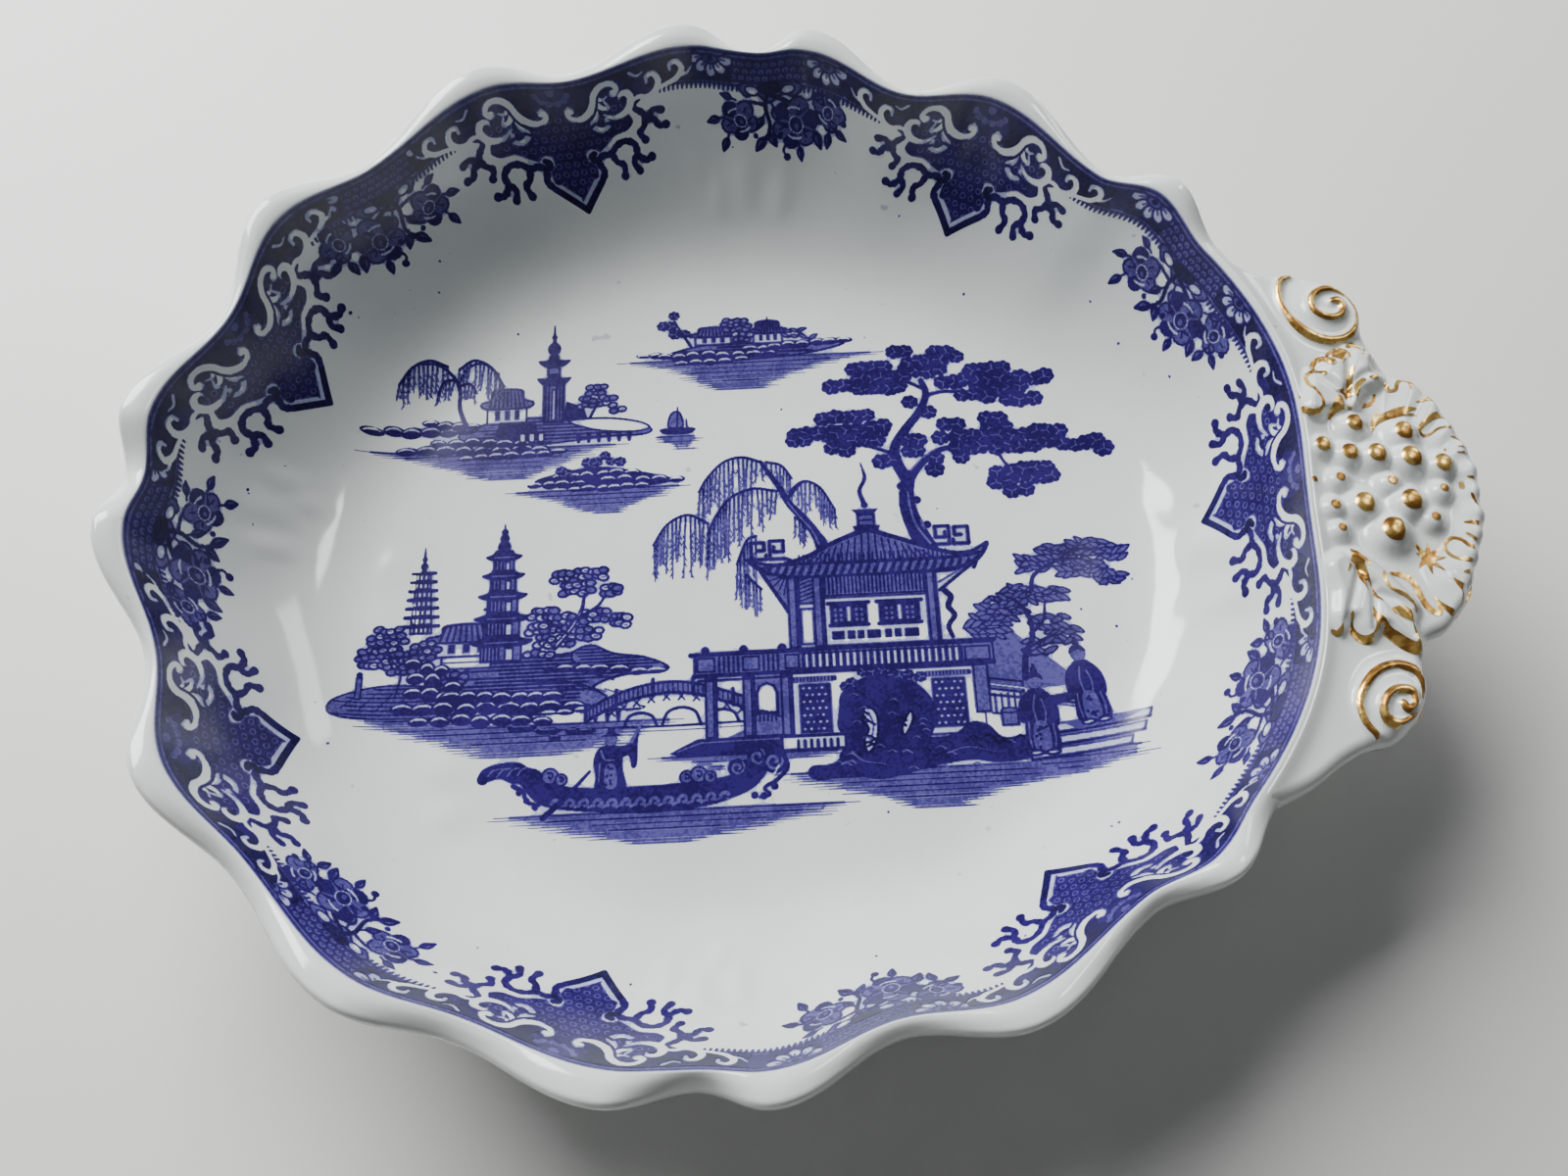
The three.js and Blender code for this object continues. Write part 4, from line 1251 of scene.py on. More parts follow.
def garden_right(pen, rng):
    """Steps, fence, shrubs and trees beside the pavilion."""
    trunk = [(56.6, -29.0), (57.4, -24.0), (59.2, -20.0), (58.6, -15.4), (56.2, -12.2)]
    pen.shape([(49.6, -21.4), (53.4, -18.2), (58.6, -22.4), (63.6, -26.6), (66.0, -30.6),
        (49.8, -30.4)], 1.15)
    foliage(pen, [(50.4, -18.0, 4.4, 2.8), (53.4, -14.2, 5.0, 2.6), (57.4, -11.4, 4.6, 2.2),
        (63.6, -11.6, 4.0, 1.6), (62.8, -17.6, 4.6, 1.8), (65.4, -20.4, 4.2, 1.8),
        (60.4, -22.6, 3.4, 1.8)], 1.5, rng, almond_leaf, 0.95)
    foliage(pen, [(60.8, -4.6, 3.6, 1.8), (66.4, -2.2, 4.6, 1.8), (73.0, -1.4, 5.0, 1.8),
        (77.4, -3.2, 3.4, 1.6), (70.6, -5.8, 5.4, 1.8), (76.4, -8.4, 3.4, 1.6)], 1.45, rng, almond_leaf,
        0.95)
    pen.line(trunk, 1.3, 2, 0.7)
    pen.line([(58.8, -19.8), (61.6, -17.2), (62.4, -13.4)], 0.8, 2, 0.4)
    pen.line([(57.6, -23.0), (61.6, -21.0), (64.6, -19.6)], 0.7, 2, 0.35)
    pen.line([(59.8, -10.8), (61.0, -7.0), (66.0, -4.2), (71.0, -4.0), (75.6, -6.6)], 0.9, 2, 0.4)
    pen.line([(66.0, -4.2), (70.0, -1.8), (76.6, -2.4)], 0.6, 2, 0.3)
    # fence and seat
    pen.shape([(49.4, -28.8), (56.0, -29.8), (56.0, -32.0), (49.4, -31.0)], 1.1, False, 2, 0.4)
    pen.line([(49.4, -30.0), (56.4, -31.2)], 0.35, 0, smooth=False)
    for k in range(5):
        x = 50.2 + k * 1.3
        pen.line([(x, -32.2), (x, -36.0)], 0.5, 1.7, smooth=False)
    pen.line([(49.4, -32.2), (70.6, -35.4)], 0.45, 2, smooth=False)
    pen.line([(49.4, -36.0), (56.0, -36.8)], 0.4, 2, smooth=False)
    pen.line([(61, -34.6), (72, -36.4)], 0.3, 1.6, smooth=False)
    box(pen, 51.2, 54.4, -38.6, -35.6, 1.3)
    pen.oval(52.8, -35.6, 1.6, 0.5, 0, 0.6, 2, 0.3)
    # steps
    for k, (x0, x1, y) in enumerate(((62.0, 79.8, -38.8), (60.4, 78.4, -41.4), (57.0, 75.6, -44.0))):
        pen.shape([(x0, y), (x1, y + 1.4), (x1 - 0.6, y - 0.2),
            (x0 - 1.0, y - 1.7)], 0.3, False, 1.8, 0.32)
        pen.line([(x0 - 0.8, y - 1.9), (x1 - 0.6, y - 0.4)], 0.65, 2, 0.4, False)
    pen.shape([(62.6, -38.4), (79.4, -37.2), (74.6, -39.0), (66, -40.2)], 0.95, False)


def oak_tree(pen, rng):
    """The tall oak behind the roof."""
    trunk = [(39.8, -0.6), (37.6, 4.4), (36.2, 9.4), (36.2, 13.4), (37.0, 17.0)]
    pen.line(trunk, 4.2, 2, 2.6)
    for knot in ((39.9, 5.4), (35.2, 10.2), (38.2, 11.2), (35.0, 14.6)):
        pen.dot(*knot, 0.85, 2)
    pen.line([(40.4, 0.8), (37.6, 5.4), (36.6, 9.8), (36.4, 13.2)], 0.5, 1, 0.35)
    pen.line([(39.2, 4.6), (38.6, 6.6)], 0.6, 0.6, 0.3, False)
    pen.line([(36.6, 15.8), (34.8, 19.8), (34.4, 23.6), (37.0, 28.0), (40.2, 32.0), (42.2, 36.4),
        (41.4, 40.0)], 2.6, 2, 1.2)
    pen.line([(37.2, 16.2), (39.8, 19.6), (43.2, 22.4), (48.0, 23.4), (56.0, 23.2)], 1.7, 2, 0.8)
    pen.line([(35.2, 21.6), (31.6, 23.4), (26.0, 25.2), (19.0, 26.2)], 0.9, 2, 0.4)
    pen.line([(42.0, 36.2), (46.6, 37.0), (52.0, 36.2), (60.0, 35.6)], 0.9, 2, 0.4)
    pen.line([(41.6, 38.0), (36.0, 40.6), (28.0, 39.4)], 0.8, 2, 0.4)
    pen.line([(56.0, 22.6), (58.4, 18.2), (63.0, 17.4)], 0.7, 2, 0.35)
    pen.line([(37.6, 18.4), (40.2, 21.0), (43.0, 22.8)], 0.3, 1, 0.25)
    masses = [
        (37.4, 47.4, 2.2, 1.4), (46.4, 47.0, 2.4, 1.3), (50.0, 45.4, 1.6, 1.2), (42.2, 43.6, 5.6, 1.8),
        (30.2, 43.6, 4.4, 1.5), (24.4, 39.4, 3.6, 1.2), (32.4, 39.8, 6.2, 1.8),
        (56.6, 42.2, 4.6, 1.4), (49.0, 39.4, 3.6, 1.5), (58.4, 38.4, 6.4, 1.6), (67.2, 38.8, 2.2, 1.3),
        (53.0, 35.6, 4.0, 1.4), (63.0, 34.4, 4.2, 1.4),
        (38.8, 34.4, 1.8, 1.4), (42.6, 32.0, 1.9, 1.2),
        (24.6, 31.8, 6.2, 1.5), (17.6, 28.2, 5.0, 1.5), (14.4, 26.6, 2.4, 1.0), (26.4, 27.2, 6.6, 1.6),
        (23.0, 24.0, 3.2, 1.2), (31.6, 29.2, 3.0, 1.4),
        (38.6, 24.2, 2.6, 1.6), (32.6, 20.8, 2.6, 1.3), (42.8, 19.4, 2.4, 1.8),
        (46.6, 27.2, 3.6, 2.2), (56.4, 27.4, 3.2, 2.6), (51.0, 24.4, 4.4, 2.2), (60.6, 24.2, 5.6, 2.2),
        (67.4, 25.0, 4.2, 1.8), (74.4, 22.6, 4.8, 1.4), (78.6, 20.6, 1.8, 1.2), (48.6, 20.6, 2.0, 1.3),
        (57.0, 15.6, 3.2, 1.6), (63.4, 16.4, 4.2, 1.6), (67.4, 15.4, 2.0, 1.1), (60.2, 12.2, 3.0, 1.4),
    ]
    fuller = [(x, y, rx * 1.06, ry * 1.3) for x, y, rx, ry in masses]
    foliage(pen, fuller, 1.9, rng, rosette_leaf, 1.22)


def willow_tree(pen, rng):
    """The willow that leans out over the water."""
    for arch, lengths in (
            ([(5.6, 21.8), (1.4, 23.2), (-2.6, 22.2), (-6.0, 18.8), (-8.0, 15.4)], [5, 9, 10, 8, 6]),
            ([(6.6, 21.8), (9.8, 20.8), (12.0, 17.6)], [4, 6, 5]),
            ([(11.4, 14.6), (14.4, 16.8), (17.8, 15.2), (20.8, 9.8)], [3, 6, 7, 4]),
            ([(8.6, 14.8), (3.4, 15.6), (-1.4, 13.6), (-4.6, 9.4), (-6.4, 5.4)], [6, 9, 13, 11, 8]),
            ([(-6.2, 8.0), (-10.4, 10.2), (-14.8, 8.2), (-17.8, 3.6)], [8, 12, 10, 7]),
            ([(3.8, 4.6), (1.8, 3.6), (-0.4, -1.6)], [9, 12, 8]),
            ([(1.4, -4.0), (3.2, -6.0), (4.6, -7.4)], [6, 8, 4]),
            ([(12.2, 8.4), (13.4, 7.6), (14.4, 5.6)], [4, 5, 3])):
        fronds(pen, arch, lengths, rng)
    pen.line([(17.6, 0.6), (16.4, 4.4), (13.8, 8.4), (11.2, 11.6), (9.2, 15.6), (6.8, 19.6),
        (5.4, 22.0)], 2.2, 2, 0.7)
    pen.line([(17.0, 2.0), (15.6, 5.4), (13.2, 8.6), (10.6, 12.4)], 0.35, 0.8, 0.25)
    pen.line([(10.6, 12.6), (13.4, 16.0), (14.6, 16.8)], 0.7, 2, 0.4)
    pen.line([(18.6, 1.0), (18.0, 3.4), (16.8, 4.8)], 0.9, 2, 0.3)


def left_island(pen, rng):
    """The large island with two pagodas, a hall and round-leaved trees."""
    water(pen, [(-34.2, -72, -14), (-36.0, -66, -20), (-38.5, -60, -24), (-40.4, -54, -36)], rng)
    water(pen, [(-31.0, -78, -58), (-33.8, -74, -50)], rng, 0.9)
    # land
    land = [(-62, -27.6), (-56, -22.0), (-48, -19.4), (-38, -19.6), (-31, -19.0), (-24, -21.0),
        (-15.4, -22.8), (-16.6, -24.2), (-24, -24.4),
            (-30, -26.6), (-27.4, -29.2), (-34, -31.4), (-46, -31.6)]
    pen.shape(land, 1.25, True, 2, 0.45)
    hatch(pen, land, 0.8, 0.45, rng)
    slope = [(-34.4, -19.4), (-30.6, -17.8), (-26, -19.8), (-20, -20.8), (-15.4, -22.8), (-18, -23.6),
        (-26, -23.2), (-33, -22.0)]
    pen.shape(slope, 1.2, True, 2, 0.4)
    hatch(pen, slope, 0.7, 0.42, rng)
    ledge(pen, -36.0, -17.0, -22.4, -24.0, 1.2, rng, 3.4)
    pen.line([(-40, -22.6), (-32, -23.4), (-26, -25.4)], 0.5, 2, 0.3)
    pen.line([(-44, -24.8), (-34, -25.6), (-28, -28.2)], 0.4, 2, 0.3)
    for k in range(9):
        x = -41 + k * 2.2
        pen.line([(x, -26.0 - 0.2 * k), (x + 2.6, -26.6 - 0.25 * k)], 0.24, 2, 0.2, False)
    # far shore and wall at the left
    shore = [(-82, -29.6), (-80.6, -27.2), (-75, -25.0), (-68, -24.6), (-60, -26), (-58, -31),
        (-70, -31.6), (-80, -31.2)]
    pen.shape(shore, 1.05, True, 1.9, 0.35)
    hatch(pen, shore, 0.9, 0.35, rng)
    for k in range(5):
        pen.line([(-80 + k * 3.4, -29.6), (-77.2 + k * 3.4, -26.6 + 0.2 * k)], 0.25, 1.8, 0.2, False)
    box(pen, -77.6, -76.6, -27.4, -22.8, 1.2, 2, 0.3)
    pen.dot(-77.1, -22.2, 0.6, 2)
    # tower behind, then the hall, then the nearer pagoda
    tiers = 7
    for k in range(tiers):
        wide = 6.4 - k * 0.36
        y = -13.6 + k * 1.95
        box(pen, -65.6 - wide * 0.34, -65.6 + wide * 0.34, y, y + 1.5, 0.4, 2, 0.35)
        bars(pen, -65.6 - wide * 0.22, -65.6 + wide * 0.24, y, y + 1.3, 0.95, 0.4, 2)
        pen.line([(-65.6 - wide * 0.56, y + 1.55), (-65.6 + wide * 0.56, y + 1.55)], 0.75, 2, 0.75, False)
    pen.line([(-65.6, -0.2), (-65.6, 5.4)], 1.0, 2, 0.2, False)
    pen.dot(-65.6, 1.2, 0.8, 2)
    pen.dot(-65.6, 2.8, 0.55, 2)
    house(pen, -56.2, -19.0, 12.0, 6.8)
    box(pen, -61, -51, -21.6, -19.0, 0, 2, 0.35)
    pen.line([(-61, -20.2), (-51, -20.2)], 0.3, 1.5, smooth=False)
    pagoda(pen, -49.0, -20.4, 30.4, 5, 8.2, 0.5)
    # trees
    foliage(pen, [(-72.2, -14.8, 4.0, 2.6), (-74.0, -18.6, 4.6, 2.4), (-68.8, -19.8, 4.0, 2.6),
        (-64.6, -17.4, 3.2, 2.0), (-58.8, -23.6, 3.4, 1.4)], 1.05, rng, ring_leaf)
    pen.line([(-70.0, -27.0), (-69.2, -22.0), (-72.0, -18.0)], 0.6, 1.6, 0.4)
    round_masses = [(-36.0, -2.4, 3.4, 1.5), (-30.2, -2.2, 3.0, 1.3), (-33.6, -5.2, 4.2, 1.7),
        (-26.6, -6.0, 2.6, 1.5), (-40.4, -10.6, 3.2, 1.6),
                    (-36.4, -12.6, 3.4, 1.8), (-29.8, -11.6, 3.6, 1.5), (-24.6, -12.6, 2.4, 1.6),
                    (-41.6, -13.8, 2.4, 1.3), (-38.0, -16.6, 4.6, 1.3), (-31.8, -15.2, 3.6, 1.4),
                    (-41.0, -19.2, 3.2, 1.0)]
    foliage(pen, round_masses, 1.15, rng, ring_leaf, 1.15)
    pen.line([(-38.0, -18.0), (-35.0, -14.4), (-32.8, -10.6), (-32.0, -6.6)], 1.2, 2, 0.6)
    pen.line([(-37.8, -17.6), (-34.8, -14.0), (-32.8, -10.6)], 0.35, 0, 0.25)
    pen.line([(-33.6, -12.0), (-29.6, -9.6), (-27.6, -7.0)], 0.7, 2, 0.4)
    pen.line([(-35.6, -15.0), (-38.6, -12.8)], 0.6, 2, 0.35, False)
    # bush and rock shelves in front
    ledges(pen, [
        (-67.0, -61.0, -20.4, -22.2, 2.4, 2.8),
        (-66.0, -58.6, -23.4, -25.2, 2.6, 3.0),
        (-66.6, -56.0, -26.4, -27.8, 2.4, 3.2),
        (-68.6, -34.0, -29.6, -30.6, 2.2, 4.0),
        (-58.6, -38.0, -27.6, -28.4, 1.8, 3.4),
        (-64.8, -40.0, -32.2, -33.2, 1.9, 3.6),
    ], rng)
    for x, y, half in ((-44.2, -34.6, 3.0), (-39.0, -35.4, 2.6), (-34.2, -35.6, 1.4),
            (-37.6, -36.8, 1.2), (-31.4, -35.8, 2.0)):
        pen.oval(x, y, half, 0.8, 0, 2)
        pen.line([(x - half * 0.6, y + 0.4), (x + half * 0.5, y + 0.4)], 0.3, 0, 0.2, False)
    ledge(pen, -39.0, -22.0, -31.6, -31.4, 0.9, rng, 3.2)
    for x in (-29.6, -27.2, -25.0):
        pen.line([(x, -32.2), (x, -33.8)], 0.9, 2, 0.7, False)


def willow_island(pen, rng):
    """The upper left island with a willow, a temple and a slim pagoda."""
    water(pen, [(27.8, -80, -24), (25.6, -70, -32), (23.2, -62, -38), (20.4, -54, -44)], rng)
    ground = [(-60, 31.4), (-52, 34.6), (-40, 35.2), (-30, 34.2), (-22, 32.6), (-18, 31.2), (-20, 30.0),
        (-28, 29.8), (-40, 28.8), (-52, 28.4)]
    pen.shape(ground, 1.05, True, 1.9, 0.4)
    hatch(pen, ground, 0.85, 0.45, rng)
    pen.shape([(-36, 34.0), (-28, 34.4), (-21, 33.2), (-18.4, 31.6), (-22, 30.8),
        (-30, 31.6)], 0, True, 1.9, 0.4)
    for x in (-33.8, -31.6, -29.4, -27.2, -25.0, -22.8):
        pen.line([(x, 30.6), (x, 28.8)], 1.0, 2, 0.7, False)
    ledges(pen, [
        (-78.0, -58.0, 32.4, 32.8, 1.8, 3.6),
        (-66.0, -57.0, 34.6, 33.8, 1.6, 2.8),
        (-70.6, -42.0, 28.0, 27.4, 2.0, 3.8),
        (-64.0, -46.0, 30.0, 29.2, 1.6, 3.2),
        (-58.0, -38.0, 26.0, 26.6, 1.3, 3.2),
    ], rng)
    # temple
    house(pen, -49.6, 34.0, 8.6, 8.4)
    pen.shape([(-52.0, 30.4), (-42.6, 30.4), (-43.6, 34.2), (-51.0, 34.2)], 1.5, False, 2, 0.4)
    for k in range(3):
        box(pen, -46.6 + k * 2.0, -45.4 + k * 2.0, 29.4, 31.4, 0, 2, 0.3)
    # pagoda
    box(pen, -41.6, -37.2, 34.0, 43.4, 1.35, 2, 0.45)
    bars(pen, -41.2, -39.9, 34.4, 43.0, 0.7, 0.38, 2)
    bars(pen, -38.8, -37.4, 34.4, 43.0, 0.7, 0.38, 2)
    box(pen, -39.8, -39.0, 34.4, 42.0, 0.4, 2, 0.25)
    pen.shape([(-43.2, 45.0), (-41.6, 43.2), (-37.4, 43.2), (-35.6, 45.0), (-37.6, 45.0), (-38.4, 46.0),
        (-40.6, 46.0), (-41.2, 45.0)], 2)
    box(pen, -40.8, -38.2, 45.8, 48.2, 1.4, 2, 0.4)
    pen.shape([(-43.0, 49.4), (-41.4, 47.8), (-37.6, 47.8), (-35.8, 49.4), (-38.0, 49.6), (-38.6, 50.8),
        (-40.4, 50.8), (-41.0, 49.6)], 2)
    pen.oval(-39.5, 52.4, 1.5, 1.7, 0, 2)
    pen.line([(-39.5, 53.6), (-39.5, 58.4)], 0.9, 2, 0.2, False)
    pen.dot(-39.5, 55.4, 0.6, 2)
    pen.shape([(-37.2, 34.6), (-36.4, 38.6), (-33.0, 37.2), (-32.2, 34.6)], 1.6, False, 2, 0.4)
    foliage(pen, [(-30.0, 41.2, 2.4, 1.6), (-32.0, 38.4, 2.4, 1.4), (-27.6, 38.6, 2.6, 1.6),
        (-25.2, 36.4, 1.8, 1.0)], 0.98, rng, ring_leaf)
    pen.line([(-31.4, 34.6), (-30.0, 37.4), (-28.2, 39.4)], 0.6, 2, 0.3)
    # willow
    pen.line([(-58.4, 33.8), (-60.0, 38.4), (-60.2, 43.0), (-61.8, 46.4), (-65.0, 48.8),
        (-68.6, 48.6)], 1.0, 2, 0.4)
    pen.line([(-60.6, 44.4), (-58.6, 48.2), (-55.4, 49.4), (-51.6, 46.6)], 0.6, 2, 0.35)
    for arch, lengths in (
            ([(-63.0, 48.6), (-66.6, 49.6), (-70.2, 47.6), (-72.8, 43.6)], [4, 7, 7, 4]),
            ([(-60.4, 48.0), (-57.2, 50.2), (-53.4, 48.4), (-50.4, 43.4)], [3, 6, 7, 4]),
            ([(-61.4, 45.4), (-63.6, 45.0), (-64.8, 42.2)], [4, 5, 3]),
            ([(-60.2, 44.0), (-58.0, 44.4), (-56.4, 42.0)], [3, 4, 3])):
        fronds(pen, arch, lengths, rng)


def far_island(pen, rng):
    """The small island at the top, with huts and trees."""
    water(pen, [(47.8, -24, 34), (45.4, -14, 20), (42.6, -8, 12), (39.6, -2, 7)], rng)
    ground = [(-14, 49.6), (-4, 51.8), (8, 51.6), (18, 51.4), (25, 50.4), (14, 48.0), (-2, 47.4),
        (-12, 48.0)]
    pen.shape(ground, 1.4, True, 2, 0.4)
    hatch(pen, ground, 0.85, 0.5, rng)
    ledges(pen, [
        (-19.6, -14.4, 49.2, 49.4, 1.1, 2.6),
        (-15.0, 8.0, 49.0, 48.8, 1.6, 3.0),
        (4.0, 25.0, 50.0, 51.4, 1.4, 3.0),
        (-11.0, 2.0, 47.0, 47.6, 1.2, 2.8),
    ], rng)
    house(pen, -4.0, 51.6, 8.0, 4.4)
    house(pen, 8.2, 51.4, 6.4, 5.6)
    pen.line([(8.2, 56.6), (8.2, 58.2)], 0.5, 2, 0.2, False)
    foliage(pen, [(-13.8, 57.0, 2.0, 1.2), (-11.2, 55.0, 2.2, 1.2),
        (-12.4, 59.4, 1.6, 0.9)], 1.3, rng, rosette_leaf)
    pen.line([(-9.0, 51.4), (-10.6, 54.2), (-12.6, 58.2)], 0.7, 2, 0.35)
    foliage(pen, [(1.2, 56.4, 3.4, 1.7), (2.4, 53.4, 2.4, 1.2)], 0.9, rng, ring_leaf)
    foliage(pen, [(14.0, 53.8, 3.0, 1.2), (17.4, 52.6, 2.0, 0.8)], 1.0, rng, almond_leaf)


def rock_island(pen, rng):
    """A low island of bare rock."""
    water(pen, [(17.2, -48, -12), (15.4, -40, -16), (13.2, -34, -22), (11.4, -30, -24)], rng)
    pen.shape([(-43, 19.4), (-38, 21.4), (-30, 22.6), (-22, 21.4), (-13.2, 18.8), (-20, 17.4),
        (-32, 17.2)], 2.0)
    ledges(pen, [
        (-43.0, -34.0, 18.8, 19.0, 1.4, 2.8),
        (-38.0, -22.0, 20.6, 20.8, 1.6, 2.9),
        (-27.0, -12.6, 19.6, 18.8, 1.5, 3.0),
        (-34.0, -20.0, 17.4, 17.6, 1.2, 2.8),
    ], rng)
    foliage(pen, [(-36.6, 21.6, 1.8, 0.8), (-30.6, 23.4, 1.8, 0.8), (-25.6, 23.6, 2.2, 0.9),
        (-27.8, 25.0, 1.0, 0.6)], 1.15, rng, rosette_leaf)


def sail_boat(pen, rng):
    """A small distant boat."""
    water(pen, [(29.0, -17.5, -7.5), (27.0, -14.0, -9.0), (25.6, -12, -9.6)], rng, 0.8, 0.6)
    pen.shape([(-15.8, 31.0), (-8.8, 31.0), (-9.8, 29.6), (-14.8, 29.6)], 2)
    pen.shape([(-14.2, 31.4), (-13.6, 34.6), (-11.8, 34.8), (-11.2, 31.4)], 1.1, True, 2, 0.4)
    pen.line([(-12.4, 31.0), (-12.2, 36.2)], 0.45, 2, 0.25, False)
    pen.line([(-10.2, 31.2), (-10.4, 33.2)], 0.4, 2, 0.25, False)


def scene_sheet():
    """The whole landscape in the middle of the dish."""
    rng = np.random.default_rng(21)
    sheet = Sheet(-86, -62, 86, 62, SCENE_CELL)
    pen = Pen(sheet)
    specks(pen, 46, (-84, 84), (-60, 60), rng)
    far_island(pen, rng)
    rock_island(pen, rng)
    sail_boat(pen, rng)
    willow_island(pen, rng)
    left_island(pen, rng)
    bench_bridge(pen)
    # water about the pavilion
    water(pen, [(-42.0, -19, 20), (-43.2, -13, 16)], rng)
    water(pen, [(-42.0, -8.4, -5.6), (-46.6, -8.0, -6.0)], rng, 0.85)
    water(pen, [(-42.0, -0.2, 2.8), (-46.6, 0.2, 2.2)], rng, 0.85)
    water(pen, [(-46.4, 6, 78), (-49.2, 14, 66), (-52.0, 26, 48), (-54.4, 32, 42)], rng)
    water(pen, [(-44.6, 54, 78), (-49.4, 58, 66)], rng)
    water(pen, [(-52.4, -50, 20), (-54.6, -42, 14), (-57.4, -30, -2), (-58.6, -22, -12)], rng)
    willow_tree(pen, rng)
    oak_tree(pen, rng)
    garden_right(pen, rng)
    pavilion(pen)
    garden_rock(pen, rng)
    robed_figure(pen, 58.8, -44.6, 18.6, 2, rng)
    robed_figure(pen, 69.6, -38.8, 18.2, 8, rng)
    pen.line([(61.8, -34.0), (65.6, -33.2)], 2.2, 2, 1.6)
    carved_boat(pen)
    boatman(pen, -26.6, -48.2, 14.2, rng)
    bleed(sheet, 0.8, 0.45)
    return sheet


# ------------------------------------------------------ ink laid on the glaze

PALE_LIFT = 0.015
MID_LIFT = 0.03
DARK_LIFT = 0.055
BLACK_LIFT = 0.08
SCENE_TILT = math.radians(4.5)
STEP = 0.05


def contour(sheet, field, level, columns, covered=None):
    """Polygons where a field on the sheet's grid is above a level: points, corners, sizes.

    Cells wholly above the level named covered are left out: a darker layer hides them.
    """
    first, last = columns
    ink = field[:, first:last]
    height, width = ink.shape
    inside = ink >= level
    corners = [inside[:-1, :-1], inside[:-1, 1:], inside[1:, 1:], inside[1:, :-1]]
    code = sum(corner.astype(int) << k for k, corner in enumerate(corners))
    if covered is not None:
        hidden = ink >= covered
        code[hidden[:-1, :-1] & hidden[:-1, 1:] & hidden[1:, 1:] & hidden[1:, :-1]] = 0
    cells = height * width
    loops, sizes = [], []
    for case in range(1, 16):
        r, c = np.nonzero(code == case)
        if not len(r):
            continue
        base = r * width + c
        corner_id = [base, base + 1, base + width + 1, base + width]
        edge_id = [cells + base, 2 * cells + base + 1, cells + base + width, 2 * cells + base]
        ring = []
        for k in range(4):
            now, after = case >> k & 1, case >> (k + 1) % 4 & 1
            if now:
                ring.append(corner_id[k])
            if now != after:
                ring.append(edge_id[k])
        loops.append(np.stack(ring, 1).ravel())
        sizes.append(np.full(len(r), len(ring)))
    used, loops = np.unique(np.concatenate(loops), return_inverse=True)
    kind, cell = used // cells, used % cells
    r, c = cell // width, cell % width
    flat = ink.ravel()
    ahead = np.where(kind == 1, cell + 1, np.where(kind == 2, cell + width, cell))
    ahead = np.minimum(ahead, cells - 1)
    rise = flat[ahead] - flat[cell]
    share = np.where(kind > 0, (level - flat[cell]) / np.where(np.abs(rise) < 1e-6, 1, rise), 0)
    share = np.clip(share, 0, 1)
    u = sheet.xs[first] + (c + share * (kind == 1)) * sheet.cell
    v = sheet.ys[0] + (r + share * (kind == 2)) * sheet.cell
    return u, v, loops, np.concatenate(sizes)


def lifted(surface, u, v, lift):
    """Points on a surface, raised along its normal."""
    across = surface(u + STEP, v) - surface(u - STEP, v)
    along = surface(u, v + STEP) - surface(u, v - STEP)
    normal = np.cross(across, along)
    normal /= np.linalg.norm(normal, axis=1, keepdims=True)
    points = surface(u, v)
    inward = np.array([0, 0, 60.0]) - points * np.array([1, 1, 0])
    flip = np.where((normal * inward).sum(1) < 0, -1, 1)[:, None]
    return points + normal * flip * lift, flip[0, 0] > 0


def ink_piece(name, sheet, surface, level, columns, covered, lift, material):
    """The part of a sheet above a level, as a skin lifted off a surface."""
    u, v, loops, sizes = contour(sheet, sheet.ink, level, columns, covered)
    points, upright = lifted(surface, u, v, lift)
    if not upright:
        loops = reversed_loops(loops, sizes)
    patch_piece(name, points, loops, sizes, material)


def profile_table():
    """How far down the wall, in mm of its surface, each inset lies."""
    insets = np.linspace(0, WALL_RUN, 400)
    heights = FLOOR_Z + (WALL_TOP_Z - FLOOR_Z) * (1 - insets / WALL_RUN) ** WALL_POWER
    steps = np.hypot(np.diff(insets), np.diff(heights))
    return np.concatenate([[0], np.cumsum(steps)]), insets


DEPTHS, INSETS = profile_table()


def border_point(u, v):
    """A point of the unrolled border on the bowl's wall."""
    return inner_wall(np.radians(u / MM_PER_DEGREE), np.interp(v, DEPTHS, INSETS))


def scene_point(u, v):
    """A point of the landscape on the bowl's floor and lower wall."""
    c, s = math.cos(SCENE_TILT), math.sin(SCENE_TILT)
    x, y = u * c - v * s, u * s + v * c
    radius, angle = np.hypot(x, y), np.arctan2(y, x)
    oval = oval_radius(angle)
    lobed = lip_edge(angle)[0] - oval
    inset = oval - radius
    for _ in range(3):
        inset = oval + np.clip(1 - inset / WALL_RUN, 0, 1) ** 2 * lobed - radius
    return np.stack([x, y, wall(angle, inset)[1] + relief(angle, inset)], -1)


INK_ROUGHNESS = 0.14
# Dark colours under a glaze look deeper than a lit surface of the same colour
INK_SPECULAR = 0.36
# Two noises add to about one, and this share of that is the middle of the ramp
POOL_SHARE = 0.9


